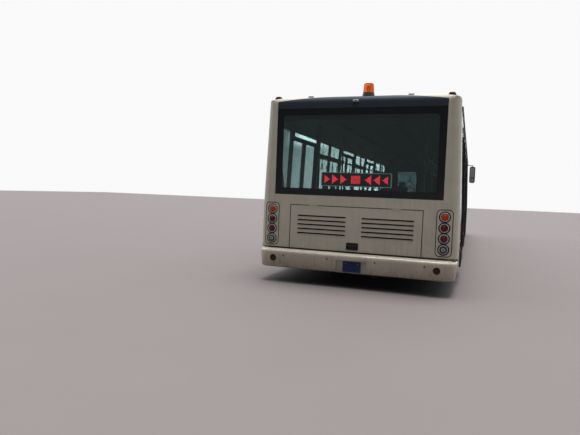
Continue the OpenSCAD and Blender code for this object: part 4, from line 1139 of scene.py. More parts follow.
def makeSkirtTrim(look):
    lowest = math.asin((look["skirtZ"] - body["hubZ"]) / look["archR"])
    angle = np.linspace(lowest, math.pi - lowest, look["archPoints"])
    across, out = np.array(look["lip"]).T
    reach = look["archR"] + across
    # Lip section carried round each arch: point = hub + (R + across) * (cos, sin), pushed out sideways
    lips = [lofted(np.stack(np.broadcast_arrays(
        body["halfWidth"] + out, y + reach * np.cos(angle)[:, None],
        body["hubZ"] + reach * np.sin(angle)[:, None]), -1))
        for y in (body["rearAxleY"], body["frontAxleY"])]
    makePiece("archLips", bothSides(lips), "rubber")
    lamps = [repeated(sideStrip(*look[key]), spots(0.0, look["markerYs"]))
             for key in ("markerBase", "markerLens")]
    makePiece("sideMarkerLamps", bothSides(lamps), "markerLens blackTrim")
    seam, corner = look["seam"], look["flapCorner"]
    low, high = look["skirtZ"] + 0.001, body["beltZ"] + 0.03
    strip = sideStrip(-seam / 2, seam / 2, low, high, *look["seamFace"])
    parts = [repeated(strip, spots(0.0, look["seamYs"]))]
    inwards, upwards = look["lockIn"]
    for box in look["flaps"]:
        outer, inner = (resampled(roundedRect(*box, corner, grow)) for grow in (0.0, -seam))
        parts.append(sideBand(outer, inner, *look["flapFace"]))
        parts += [turned(look["lock"], "x", (body["halfWidth"], y, box[2] + upwards), 1, segments=20)
                  for y in (box[0] + inwards, box[1] - inwards)]
    makePiece("skirtSeams", bothSides(parts), "seamGrey chrome")


makeSideWindows(sideWindows)
makeDoorTrim(doorTrim)
makeSkirtTrim(skirtTrim)
print("side pieces made")


# Tyres: section of [radius, half width] from bead to shoulder, and the tread's grooves
tyre = {
    "radius": 0.478,
    "side": ((0.290, 0.108), (0.300, 0.116), (0.312, 0.127), (0.330, 0.130), (0.336, 0.1325), (0.342, 0.1315),
             (0.370, 0.1362), (0.400, 0.1378), (0.416, 0.1372), (0.420, 0.1378), (0.424, 0.1360),
             (0.438, 0.1285), (0.452, 0.1245), (0.4535, 0.1218), (0.466, 0.1150), (0.4705, 0.1060),
             (0.4735, 0.0960)),
    "across": (-0.086, -0.078, -0.045, 0.0, 0.045, 0.078, 0.086),
    "crown": (0.0035, 0.09),
    "grooves": (-0.066, -0.024, 0.024, 0.066),
    "grooveHalf": 0.0045,
    "grooveDepth": 0.009,
    "shoulder": (0.077, 0.452, 0.006),
    "inner": (0.030, 0.060, 0.005),
    "blocks": 54,
    "columnsPerBlock": 6,
    "lean": 0.06,
}


# One tyre's closed grid: radius = smooth section - ring grooves - cross grooves where the angle is in a gap
def tyrePatch(look, x):
    side, grooves, edge = np.array(look["side"]), np.array(look["grooves"]), look["grooveHalf"]
    borders = grooves[:, None] + (-edge - 0.001, -edge, edge, edge + 0.001)
    across = np.sort(np.concatenate([borders.ravel(), look["across"]]))
    drop, reach = look["crown"]
    crown = look["radius"] - drop * (across / reach) ** 2
    radius = np.concatenate([side[:, 0], crown, side[::-1, 0]])
    offset = np.concatenate([-side[:, 1], across, side[::-1, 1]])
    width = np.abs(offset)
    step = np.arange(look["blocks"] * look["columnsPerBlock"])
    inBlock = step % look["columnsPerBlock"]
    ringGroove = (np.abs(offset[:, None] - grooves).min(1) < edge + 0.0002) & (width < 0.0955)
    wide, high, shoulderDepth = look["shoulder"]
    near, far, innerDepth = look["inner"]
    shoulder = ((width > wide) & (radius > high))[:, None] & (inBlock < 2)
    inner = ((width > near) & (width < far))[:, None] & (inBlock == 3)
    depth = np.maximum(ringGroove[:, None] * look["grooveDepth"], shoulder * shoulderDepth)
    depth = np.maximum(depth, inner * innerDepth)
    angle = step * 2 * math.pi / len(step) + look["lean"] * offset[:, None]
    rolled = radius[:, None] - depth
    points = placed(rolled * np.cos(angle), rolled * np.sin(angle), offset[:, None], "x", (x, 0, 0))
    return surface(points, closeRows=True, closeColumns=True)


# Wheel nuts in a circle, their section of [radius, height], and the valve
wheelNuts = {
    "count": 10,
    "circle": 0.165,
    "section": ((0.019, -0.012), (0.019, 0.004), (0.0155, 0.004), (0.0155, 0.020), (0.0130, 0.022),
                (0.008, 0.022), (0.008, 0.030)),
    "valve": ((0, 0), (0.005, 0), (0.005, 0.03), (0.0035, 0.034), (0, 0.034)),
    "valveAt": (0.075, 0.245, 0.0),
}

# The kinds of wheel: axle, tyres' middles by x, height of the nuts' seat, hub cap's [radius, height]
wheels = {
    "wheel_front": {
        "tyreNode": "tyre_front",
        "axleY": body["frontAxleY"],
        "xs": (1.236,),
        "nutFace": 0.060,
        "cap": ((0.0, -0.02), (0.062, -0.02), (0.078, 0.058), (0.0775, 0.066), (0.070, 0.072), (0.066, 0.098),
                (0.058, 0.108), (0.030, 0.112), (0.0, 0.112)),
    },
    "wheels_rear": {
        "tyreNode": "tyres_rear",
        "axleY": body["rearAxleY"],
        "xs": (0.948, 1.258),
        "nutFace": -0.056,
        "cap": ((0.0, -0.10), (0.100, -0.10), (0.1005, -0.052), (0.096, -0.046), (0.092, 0.000),
                (0.086, 0.040), (0.082, 0.046), (0.078, 0.060), (0.060, 0.068), (0.0, 0.069)),
    },
}


def makeWheel(kind, look, word, side):
    place = (0, look["axleY"], body["hubZ"])
    outer = look["xs"][-1]
    turn, hexagon = around(wheelNuts["count"]), np.linspace(0, 2 * math.pi, 6, endpoint=False)
    nut = lofted([placed(r * np.cos(hexagon), r * np.sin(hexagon), height, "x",
                         (outer + look["nutFace"], 0, 0))
                  for r, height in wheelNuts["section"]])
    nuts = repeated(nut, wheelNuts["circle"] * spots(0.0, np.cos(turn), np.sin(turn)))
    valve = moved(turned(wheelNuts["valve"], "x", wheelNuts["valveAt"], 2, 12), (outer, 0, 0))
    extra = [moved(patch, place) for patch in (nuts, turned(look["cap"], "x", (outer, 0, 0), 1), valve)]
    tyres = [moved(tyrePatch(tyre, x), place) for x in look["xs"]]
    if side < 0:
        tyres, extra = ([mirrored(patch) for patch in patches] for patches in (tyres, extra))
    bodyName = kind + "_" + word
    makePiece("tyre_" + bodyName, tyres, "tyreRubber", bodyName,
              [look["tyreNode"] + "_" + word])
    makePiece("hub_" + bodyName, extra, "chrome wheelSteel rubber", bodyName)


for kind, wheel in wheels.items():
    for word, side in (("left", -1), ("right", 1)):
        makeWheel(kind, wheel, word, side)
print("wheels made")

# Windscreen: black printed edge and a rubber strip down the middle
windscreen = {
    "pane": (-1.297, 1.297, 1.153, 2.477, 0.012),
    "clear": (-1.215, 1.215, 1.235, 2.405, 0.07),
    "proud": (-0.006, -0.0032),
    "points": 400,
    "strip": ((-0.011, -0.002), (-0.011, 0.001), (-0.007, 0.003), (0.007, 0.003), (0.011, 0.001),
              (0.011, -0.002)),
    "stripZ": (1.17, 2.46),
    "stripProud": -0.003,
}


def makeWindscreenPrint(look):
    outer, inner = (resampled(roundedRect(*look[key]), look["points"]) for key in ("pane", "clear"))
    low, high = look["proud"]
    rings = [spots(o[:, 0], frontSkin(*o.T, proud), o[:, 1])
             for o, proud in ((outer, low), (outer, high), (inner, high), (inner, low))]
    z = np.linspace(*look["stripZ"], 40)
    path = spots(0.0, frontSkin(0.0, z, look["stripProud"]), z)
    makePiece("windscreenPrint", [lofted(rings, closed=True), carried(look["strip"], path, (0, 1, 0), 1)],
              "printBlack rubber")


# Head lamps: bright bowl and bulb behind a clear fluted lens, in a moulded ring and a housing
headLamps = {
    "xs": (0.900, 1.085),
    "y": 6.8,
    "z": 0.700,
    "ring": ((0.0655, -0.004), (0.066, 0.010), (0.069, 0.013), (0.076, 0.0125), (0.0795, 0.008), (0.080, 0.0),
             (0.0690, -0.001), (0.0690, -0.004)),
    "can": ((0.0, -0.0495), (0.0690, -0.0495), (0.0690, -0.004), (0.0652, -0.004), (0.0652, -0.0475),
            (0.0, -0.0478)),
    "bulb": ((0.0, -0.046), (0.008, -0.046), (0.010, -0.030), (0.0075, -0.020), (0.0, -0.017)),
    "lensR": 0.0655,
    "bowlR": 0.065,
}


# Lens height = 19 mm - 11 mm (r / R)^2.4 + 0.5 mm cos(2 pi r / 7 mm); bowl height = -46 mm + 50 mm (r / R)^2
def makeHeadLamps(look):
    radius, bowlR = np.linspace(0, look["lensR"], 22), np.linspace(look["bowlR"], 0.0, 16)
    dome = 0.019 - 0.011 * (radius / look["lensR"]) ** 2.4 + 0.0005 * np.cos(2 * math.pi * radius / 0.007)
    lens = np.concatenate([np.stack([radius, dome], 1), [(look["lensR"] + 0.0003, 0.004), (0.0, 0.0035)]])
    bowl = np.stack([bowlR, -0.046 + 0.050 * (bowlR / look["bowlR"]) ** 2], 1)
    patches = []
    for x in look["xs"]:
        centre = (x, look["y"], look["z"])
        patches += [turned(look["ring"], "y", centre, closed=True), turned(look["can"], "y", centre),
                    turned(bowl, "y", centre, 1), turned(look["bulb"], "y", centre, 1, 16),
                    turned(lens, "y", centre, 2)]
    makePiece("headLampUnits", bothSides(patches), "blackTrim mirrorFace clearLens",
              replaces=["head_lamps"])


# Cooling slots at the front and the air slot behind the rearmost doors: dark mesh with upright ribs
grilles = {
    "half": 0.419,
    "slotZ": (0.6406, 0.6614),
    "pitch": 0.060,
    "rows": 6,
    "back": (6.742, 6.748),
    "ribs": 42,
    "ribHalf": 0.0015,
    "ribFront": 6.790,
    "lip": (-0.431, 0.431, 0.630, 0.638, 0.003, 6.7995, 6.8045),
    "airSlot": (-6.4195, -5.7805, 0.9755, 1.0245, -0.045, -0.040, 0.001),
    "fin": (-0.0018, 0.0018, 0.9757, 1.0243, -0.041, -0.006, 0.0006, 0, 0.0005),
    "finYs": (-6.40, -5.80, 30),
}


def makeGrilles(look):
    half, ribHalf, slotZ = look["half"], look["ribHalf"], look["slotZ"]
    up = np.arange(look["rows"]) * look["pitch"]
    across = np.linspace(-half + 0.02, half - 0.02, look["ribs"])
    back = plate(-half, half, *slotZ, 0.001, *look["back"], "y", 0.001)
    rib = plate(-ribHalf, ribHalf, *slotZ, 0.0007, look["back"][1], look["ribFront"], "y", 0.0005, 0, 1)
    parts = [repeated(patch, spots(0.0, 0.0, up)) for patch in (back, plate(*look["lip"], "y"))]
    makePiece("frontGrilleMesh", parts + [repeated(rib, spots(across, 0.0, up[:, None]))], "blackTrim")
    fins = repeated(sideStrip(*look["fin"]), spots(0.0, np.linspace(*look["finYs"])))
    makePiece("airSlotFins", bothSides([sideStrip(*look["airSlot"]), fins]), "blackTrim")


# Mirror glass in the back of each head, a main and a wide-angle glass
mirrorGlass = {
    "glasses": ((1.542, 1.708, 2.215, 2.605), (1.542, 1.708, 2.045, 2.185)),
    "corner": 0.03,
    "faces": (-6.7905, -6.7870),
    "rimGrows": (0.008, -0.001),
}


def makeMirrorGlass(look):
    patches = []
    low, high = look["faces"]
    for box in look["glasses"]:
        patches.append(plate(*box, look["corner"], low, high, "-y", 0.0012))
        patches.append(rectRing(box, look["corner"], look["rimGrows"], low, high + 0.0015, "-y", 1))
    makePiece("mirrorGlass", bothSides(patches), "mirrorFace rubber")


# Roof: height at x = crown - drop (x / edge)^2; cross beads and two hatches stand on it
roofTrim = {
    "crown": 2.945,
    "drop": 0.1157,
    "edge": 1.3976,
    "beads": (-5.2, -4.0, -2.8, -1.6, -0.4, 0.8, 2.0, 3.2, 4.4, 5.4),
    "beadHalf": 1.30,
    "bead": ((-0.002, -0.010), (0.0012, -0.0075), (0.0030, -0.003), (0.0030, 0.003), (0.0012, 0.0075),
             (-0.002, 0.010)),
    "hatches": (-2.2, 2.6),
    "hatch": (-0.36, 0.36, -0.42, 0.42),
    "hatchCorner": 0.06,
    "hatchLevels": ((0.02, 2.930), (0.02, 2.952), (0.012, 2.957), (0.0, 2.957), (-0.002, 2.972),
                    (-0.010, 2.980), (-0.05, 2.984)),
}


def roofSkin(x):
    return roofTrim["crown"] - roofTrim["drop"] * (x / roofTrim["edge"]) ** 2


def makeRoofTrim(look):
    x = np.linspace(-look["beadHalf"], look["beadHalf"], 60)
    bead = carried(look["bead"], spots(x, 0.0, roofSkin(x)), (0, 1, 0))
    # The section is carried face down, so it is mirrored in the roof's skin
    bead["points"][:, 2] = 2 * roofSkin(bead["points"][:, 0]) - bead["points"][:, 2]
    makePiece("roofBeads", [repeated(bead, spots(0.0, look["beads"]))], "roofPaint")
    hatch = tiers(look["hatch"], look["hatchCorner"], look["hatchLevels"], "z")
    makePiece("roofHatches", [repeated(hatch, spots(0.0, look["hatches"]))], "greyPlastic")


# Seams round the back: rubber in the flap's shut line, a black gasket on the bumper's upper edge and a rubber
# edging above it. Sections: seal of [growth, depth], gasket of [reach, z], edging of [proud, z]
rearSeams = {
    "flap": (-1.0, 1.0, 0.533, 1.214),
    "seal": ((-0.0002, 6.770), (-0.0002, 6.8), (0.0058, 6.8002), (0.0062, 6.8006), (-0.0028, 6.8008),
             (-0.0034, 6.7985), (-0.0034, 6.770)),
    "gasket": ((0.0, 0.5332), (0.0, 0.5374), (0.019, 0.5368), (0.0235, 0.5340), (0.0240, 0.5250)),
    "cornerR": 0.1,
    "cornerX": 1.3,
    "edging": ((-0.0005, 0.5368), (0.0014, 0.5368), (0.0020, 0.5405), (0.0014, 0.5485), (-0.0005, 0.5485)),
    "edgingX": (1.0035, 1.34),
    "edgingTurn": 1.35,
    "flapEdgingX": 0.996,
}


def makeRearSeams(look):
    x0, x1, z0, z1 = look["flap"]
    levels = []
    for grow, height in look["seal"]:
        outline = rectangle(x0, x1, z0, z1, grow)
        # The lower edge stays just above the panel's opening
        outline[:2, 1] = z0 + 0.0004 - min(grow, 0)
        levels.append((outline, height))
    seal = stacked(levels, "-y", closed=True)

    # The gasket follows the bumper's upper edge: a quarter circle, straight, a quarter circle
    cornerX, cornerR = look["cornerX"], look["cornerR"]
    turn = np.concatenate([np.linspace(-math.pi / 2, 0, 20), np.zeros(30), np.linspace(0, math.pi / 2, 20)])
    hubX = np.concatenate([np.full(20, -cornerX), np.linspace(-cornerX, cornerX, 30), np.full(20, cornerX)])
    columns = [spots(hubX + (cornerR + reach) * np.sin(turn),
                     body["rearY"] + cornerR - (cornerR + reach) * np.cos(turn), z)
               for reach, z in look["gasket"]]
    gasket = lofted(np.stack(columns, 1))

    # Low bead along the rear skin, by x
    def edging(x):
        return lofted(np.stack([spots(x, rearSkin(x, proud), z) for proud, z in look["edging"]], 1))

    cornerStart = body["halfWidth"] - body["rearCornerR"]
    corner = cornerStart + body["rearCornerR"] * np.sin(np.linspace(0, look["edgingTurn"], 24))
    ends = edging(np.concatenate([np.linspace(*look["edgingX"], 12), corner]))
    half = look["flapEdgingX"]
    makePiece("rearPanelSeams", [seal, gasket, *bothSides([ends])], "gapBlack")
    makePiece("flapEdging", [edging(np.linspace(-half, half, 60))], "gapBlack", bodyName="flap")


# Lining behind the flap: a dark sheet with pressed ribs and two rows of studs
compartment = {
    "sheet": (-1.03, 1.03, 0.50, 1.232, 0.02, 6.7495, 6.7520),
    "rib": (-0.014, 0.014, 0.60, 1.14, 0.012, 6.7510, 6.7552),
    "ribXs": (-0.88, 0.88, 9),
    "stud": ((0, -0.001), (0.014, -0.001), (0.014, 0.001), (0.011, 0.0028), (0.004, 0.0028), (0.003, 0.0015),
             (0, 0.0015)),
    "studXs": (-0.96, 0.96, 7),
    "studZs": (0.562, 1.180),
}


def makeCompartment(look):
    ribs = repeated(plate(*look["rib"], "-y"), spots(np.linspace(*look["ribXs"])))
    stud = turned(look["stud"], "-y", (0, -look["sheet"][-1], 0), 1, segments=20)
    studs = repeated(stud, spots(np.linspace(*look["studXs"]), 0.0, np.array(look["studZs"])[:, None]))
    makePiece("compartmentLining", [plate(*look["sheet"], "-y", 0.0008), ribs, studs], "underframe castMetal")


makeWindscreenPrint(windscreen)
makeHeadLamps(headLamps)
makeGrilles(grilles)
makeMirrorGlass(mirrorGlass)
makeRoofTrim(roofTrim)
makeRearSeams(rearSeams)
makeCompartment(compartment)
print("front, roof and seam pieces made")

# Saloon: lamps under the ceiling, straps on the rails, collars and call buttons on the poles. Sections are
# [radius, height], with heights from the rail, the floor or the ceiling
saloon = {
    "lamp": (0.405, 0.515, -6.2, 4.5, 0.02, 2.546, 2.5597),
    "lampRim": (0.392, 0.528, -0.02, 0.02, 0.01, 2.543, 2.5597),
    "lampRims": 10,
    "poleX": 0.90,
    "poleYs": (-5.70, -4.00, -2.20, -0.44, 0.91, 2.68),
    "poleR": 0.0179,
    "strapStep": 0.36,
    "strapClear": 0.07,
    "railZ": 2.05,
    "sleeve": ((0.0154, -0.022), (0.021, -0.022), (0.021, 0.022), (0.0154, 0.022)),
    "band": (0.8978, 0.9022, 1.92, 2.0305, 0.001, -0.013, 0.013),
    "gripR": (0.050, 0.006),
    "gripDown": 0.172,
    "gripThick": 0.0075,
    "floorZ": 0.345,
    "floorCollar": ((0.046, 0.0), (0.046, 0.005), (0.030, 0.014), (0.024, 0.03)),
    "ceilingZ": 2.56,
    "ceilingCollar": ((0.026, -0.026), (0.044, -0.006), (0.044, -0.0005)),
    "button": (-0.026, 0.026, 1.30, 1.40, 0.012, -0.045, -0.0165),
    "buttonFace": ((0, 0.0), (0.013, 0.0), (0.012, 0.006), (0, 0.007)),
    "buttonZ": 1.36,
}


def makeSaloonTrim(look):
    rims = repeated(plate(*look["lampRim"], "z", 0.004, 1),
                    spots(0.0, np.linspace(*look["lamp"][2:4], look["lampRims"])))
    makePiece("ceilingLamps", bothSides([plate(*look["lamp"], "z", 0.006), rims]), "diffuser greyPlastic")
    poleYs, poleX, r, rail = np.array(look["poleYs"]), look["poleX"], look["poleR"], look["railZ"]
    # A strap at every step along the rail that isn't close to a pole
    ys = np.arange(poleYs[0] + 0.2, poleYs[-1] - 0.1, look["strapStep"])
    ys = ys[np.abs(ys[:, None] - poleYs).min(1) > look["strapClear"]]
    angle = around(18)
    gripR = look["gripR"][0] + look["gripR"][1] * np.cos(3 * angle)
    gripPath = spots(poleX, gripR * np.sin(angle), rail - look["gripDown"] + gripR * np.cos(angle))
    strap = (turned(look["sleeve"], "y", (poleX, 0, rail), segments=16, closed=True),
             plate(*look["band"], "y", 0.001, 1, 1),
             carried(circleProfile(look["gripThick"], 8), gripPath, (1, 0, 0), closed=True))
    makePiece("handStraps", bothSides([repeated(patch, spots(0.0, ys)) for patch in strap]),
              "railYellow blackTrim")
    collars = (
        ((r, 0.0), *look["floorCollar"], (r, 0.034), look["floorZ"]),
        ((r, -0.03), *look["ceilingCollar"], (r, -0.0005), look["ceilingZ"]),
        ((r, -0.045), (0.024, -0.045), (0.026, -0.02), (0.026, 0.02), (0.024, 0.045), (r, 0.045), rail))
    fittings = [turned(section, "z", (poleX, 0, z), 2, 32, closed=True) for *section, z in collars]
    fittings.append(moved(plate(*look["button"], "y", 0.004, 3), (poleX, 0, 0)))
    fittings.append(turned(look["buttonFace"], "-y", (poleX, look["button"][5], look["buttonZ"]), 4, 20))
    makePiece("poleFittings", bothSides([repeated(patch, spots(0.0, poleYs)) for patch in fittings]),
              "railYellow blackTrim castMetal greyPlastic redLens")


# Low ridges across the plastic seats' flats
seatTrim = {
    "ridge": (-0.145, 0.145, -0.0035, 0.0035, 0.003, -0.002, 0.0022),
    "ridgeYs": (-0.075, 0.14, 10),
    "rearXs": (-0.98, -0.49, 0.0, 0.49, 0.98),
    "rearY": -6.3,
    "rearTop": 0.886,
    "sideX": 1.15,
    "sideYs": (-3.46, -2.84, 3.64, 4.26),
    "sideTop": 1.086,
}


def makeSeatTrim(look):
    local = repeated(plate(*look["ridge"], "z", 0.0015, 0, 2), spots(0.0, np.linspace(*look["ridgeYs"])))
    swung = dict(local, points=local["points"][:, [1, 0, 2]] * (-1, 1, 1))
    rear = repeated(local, spots(look["rearXs"], look["rearY"], look["rearTop"]))
    sides = repeated(swung, spots(look["sideX"], look["sideYs"], look["sideTop"]))
    makePiece("seatRidges", [rear, *bothSides([sides])], "seatPlastic")


# Tinted pane in the partition behind the driver, in a rubber frame
cabPane = {"box": (-1.30, -0.26, 1.44, 2.30), "corner": 0.06, "pane": (4.672, 4.680), "frame": (4.652, 4.706),
           "frameGrows": (0.018, -0.012)}


def makeCabPane(look):
    x0, x1, z0, z1 = look["box"]
    # A shape built along y counts u towards -x, so the box changes its sides
    box = (-x1, -x0, z0, z1)
    pane = plate(*box, look["corner"] - 0.004, *look["pane"], "y", 0.001, 0, 6)
    rim = rectRing(box, look["corner"], look["frameGrows"], *look["frame"], "y", 1)
    makePiece("cabPartitionPane", [pane, rim], "darkGlass rubber")


# Driver's seat: pads by [u0, u1, v0, v1] and depth, plates by [u0, u1, v0, v1, corner, low, high], turned
# parts by [radius, height], all from the seat's place
driverSeat = {
    "place": (-0.85, 5.56, 0.80),
    "cushion": (-0.235, 0.235, -0.235, 0.245),
    "cushionZ": (0.325, 0.375),
    "backrest": (-0.225, 0.225, 0.40, 0.97),
    "headrest": (-0.125, 0.125, 0.985, 1.13),
    "backY": (-0.255, -0.195),
    "crown": 0.030,
    "channel": 0.135,
    "seam": 0.018,
    "pipe": 0.0052,
    "gaiterZ": (0.04, 0.285),
    "gaiter": (0.105, 0.012, 0.035),
    "foot": ((0, 0), (0.15, 0), (0.15, 0.02), (0.14, 0.032), (0.10, 0.041), (0, 0.041)),
    "pan": (-0.225, 0.225, -0.225, 0.235, 0.06, 0.283, 0.326),
    "shell": (-0.215, 0.215, 0.33, 0.96, 0.07, -0.292, -0.253),
    "bracket": (-0.045, 0.045, 0.285, 0.40, 0.02, -0.288, -0.215),
    "post": ((0, 0.94), (0.006, 0.94), (0.006, 1.03), (0, 1.03)),
    "postXs": (-0.05, 0.05),
    "armXs": (-0.265, 0.265),
    "arm": (-0.028, 0.028, -0.20, 0.10, 0.026, 0.545, 0.59),
    "armHinge": (-0.012, 0.012, 0.50, 0.57, 0.01, -0.27, -0.17),
}


# A cushion: rings that grow from the flat side's middle, round a bulged edge and back to the crown's middle.
# Height = edge + crown (1 - s^2.4) - seam depth where |u| is near a channel; edges draw in between corners
def cushion(outline, corner, low, high, axis, centre, crown, channel, seamDepth):
    u0, u1, v0, v1 = outline
    middle = np.array([(u0 + u1) / 2, (v0 + v1) / 2])
    edge = resampled(roundedRect(u0, u1, v0, v1, corner), 144) - middle
    reach = np.abs(edge) / np.array([(u1 - u0) / 2, (v1 - v0) / 2])
    edge = edge * (1 - 0.030 * (1 - reach.min(1)) ** 2)[:, None]
    shoulder = ((0.975, 0.03), (0.995, 0.22), (1.0, 0.45), (1.0, 0.62), (0.993, 0.80), (0.975, 0.93))
    edgeS, edgeSide = np.array(shoulder).T
    s = np.concatenate([np.linspace(0.02, 0.94, 8), edgeS, np.linspace(0.95, 0.02, 26)])
    side = np.concatenate([np.zeros(8), edgeSide, np.ones(26)])
    top = np.arange(len(s)) >= 14
    u, v = np.moveaxis(edge * s[:, None, None], -1, 0)
    rise = low + (high - low) * side + np.where(top, crown * (1 - s ** 2.4), 0.0)
    seam = np.exp(-((np.abs(u) - channel) / 0.006) ** 2) + np.exp(-(v / 0.007) ** 2) * (np.abs(u) < channel)
    height = rise[:, None] - np.where((top & (s < 0.97))[:, None], seamDepth * np.clip(seam, 0, 1), 0)
    return lofted(placed(u + middle[0], v + middle[1], height, axis, centre))


def piping(outline, corner, height, axis, centre, radius):
    line = resampled(roundedRect(*outline, corner, -0.004), 96)
    path = placed(line[:, 0], line[:, 1], height, axis, centre)
    return carried(circleProfile(radius, 8), path, axisFrames[axis][2], 1, closed=True)


def makeDriverSeat(look):
    place, pipe, channel = np.array(look["place"]), look["pipe"], look["channel"]
    low, high = look["cushionZ"]
    pad = makePiece("driverCushion", [
        cushion(look["cushion"], 0.07, low, high, "z", place, look["crown"], channel, look["seam"]),
        piping(look["cushion"], 0.07, high - 0.012, "z", place, pipe)],
        "fabric rubber", replaces=["driver_seat"])
    back, front = look["backY"]
    pad = makePiece("driverBackrest", [
        cushion(look["backrest"], 0.08, back, front, "y", place, look["crown"] * 0.8, channel, 0.014),
        piping(look["backrest"], 0.08, front - 0.010, "y", place, pipe)], "fabric rubber")
    head = cushion(look["headrest"], 0.045, back, front - 0.01, "y", place, 0.02, 0.3, 0.0)
    pad = makePiece("driverHeadrest", [head], "fabric")
    # Gaiter radius = R + fold sin(2 pi z / step)
    radius, fold, step = look["gaiter"]
    bottom, top = look["gaiterZ"]
    z = np.linspace(bottom, top, 60)
    folds = np.stack([radius + fold * np.sin(z * 2 * math.pi / step), z], 1)
    parts = [
        turned(np.concatenate([[(0, bottom)], folds, [(0, top)]]), "z", place),
        turned(look["foot"], "z", place, 1),
        moved(plate(*look["pan"], "z", 0.01, 1), place),
        moved(plate(*look["shell"], "y", 0.012, 1), place),
        moved(plate(*look["bracket"], "y", 0.01, 1), place)]
    parts += [turned(look["post"], "z", place + (x, -0.24, 0), 2, 12) for x in look["postXs"]]
    for x in look["armXs"]:
        parts.append(moved(plate(*look["arm"], "z", 0.012, 1), place + (x, 0, 0)))
        parts.append(moved(plate(*look["armHinge"], "y", 0.004, 1), place + (x * 0.93, 0, 0)))
    makePiece("driverSeatFrame", parts, "rubber dashPlastic chrome")


# Instruments: a hood on the dashboard with three gauges that carry plain ticks, and switches beside it.
# The gauges' rim and dial are [distance outside the gauge's radius, height]
dashTrim = {
    "hood": (-1.05, -0.65, 1.150, 1.275, 0.03, -6.44, -6.285),
    "face": 6.285,
    "gauges": ((-0.945, 0.045), (-0.850, 0.030), (-0.755, 0.045)),
    "gaugeZ": 1.214,
    "rim": ((-0.004, -0.001), (-0.003, 0.004), (0.0, 0.005), (0.002, 0.003), (0.002, -0.001)),
    "dial": ((-0.002, -0.001), (-0.003, 0.0012)),
    "dialZ": (-0.001, 0.0014),
    "tickIn": 0.009,
    "handIn": 0.012,
    "ticks": (-40, 220, 14),
    "tick": (-0.0011, 0.0011, -0.0011, 0.0011, 0.0004, -0.0004, 0.0005),
    "handTurn": 55,
    "switch": (-0.016, 0.016, 6.26, 6.29, 0.004, 1.166, 1.180),
    "switchXs": (-0.60, -0.30, 7),
}


def makeDashTrim(look):
    parts = [plate(*look["hood"], "-y", 0.008)]
    face, level = look["face"], look["gaugeZ"]
    tick = plate(*look["tick"], "-y", 0.0002, 3, 1)
    angle, turn = np.radians(np.linspace(*look["ticks"])), math.radians(look["handTurn"])
    swing = np.array([(math.cos(turn), 0, math.sin(turn)), (0, 1, 0), (-math.sin(turn), 0, math.cos(turn))])
    for x, r in look["gauges"]:
        centre = (x, face, level)
        rim, edge = (np.add(look[key], (r, 0)) for key in ("rim", "dial"))
        dial = [(0, look["dialZ"][0]), *edge, (0, look["dialZ"][1])]
        reach = r - look["tickIn"]
        ticks = spots(x + reach * np.cos(angle), face - 0.0014, level + reach * np.sin(angle))
        hand = plate(-0.001, 0.001, -0.004, r - look["handIn"], 0.0008, 0.001, 0.0025, "-y", 0.0003, 4, 1)
        parts += [turned(rim, "-y", centre, 1, 40, closed=True), turned(dial, "-y", centre, 2, 40),
                  repeated(tick, ticks), moved(dict(hand, points=hand["points"] @ swing), centre)]
    parts.append(repeated(plate(*look["switch"], "z", 0.003, 1), spots(np.linspace(*look["switchXs"]))))
    makePiece("gaugeHood", parts, "dashPlastic chrome ledBoard greyPlastic redLens")


makeSaloonTrim(saloon)
makeSeatTrim(seatTrim)
makeCabPane(cabPane)
makeDriverSeat(driverSeat)
makeDashTrim(dashTrim)
print("saloon and cab pieces made")

# Floor, light and backdrop. Pairs are the limits between which a value of the direction fades in or out
studio = {
    "floorSize": 60.0,
    "floorColour": (0.185, 0.159, 0.157, 1),
    "skyStrength": 1.45,
    "skyBright": (0.93, 0.96, 1.0, 1),
    "skyAhead": (3.0, 3.2, 3.3, 1),
    "skyDark": (0.022, 0.025, 0.03, 1),
    "horizonDim": (0.33, 0.355, 0.37, 1),
    "openAbove": (0.084, 0.100),
    "openAhead": (0.932, 0.942),
    "behind": (-0.1, 0.4),
    "behindLean": 0.22,
    "darkBelow": (0.88, 0.66),
    "horizonBelow": (0.5, 0.25),
    "dimBeside": (0.985, 0.93),
    "backdrop": (0.95, 0.95, 0.95, 1),
    "keyStrength": 3.2,
    "keySpread": 30.0,
    "keyTilt": (-4.0, 3.0, 0.0),
    "keyColour": (1.0, 0.98, 0.95),
}


def makeFloor(look):
    x, y = np.meshgrid(*[np.linspace(-look["floorSize"], look["floorSize"], 9)] * 2, indexing="ij")
    patch = surface(np.stack([x, y, np.zeros_like(x)], -1))
    mesh = bpy.data.meshes.new("studioFloor")
    mesh.from_pydata(patch["points"].tolist(), [], patch["quads"].tolist())
    made, nodes, shader = newMaterial("floorMatt", look["floorColour"][:3])
    tone = nodes.ramp(nodes.noise(0.6, 5, 0.55), 0.0, 1.0, (0.94, 1.03))
    nodes.fill(shader, {"Base Color": nodes.shaded(look["floorColour"], tone), "Roughness": 0.85})
    mesh.materials.append(made)
    floor = bpy.data.objects.new("studioFloor", mesh)
    bpy.context.scene.collection.objects.link(floor)


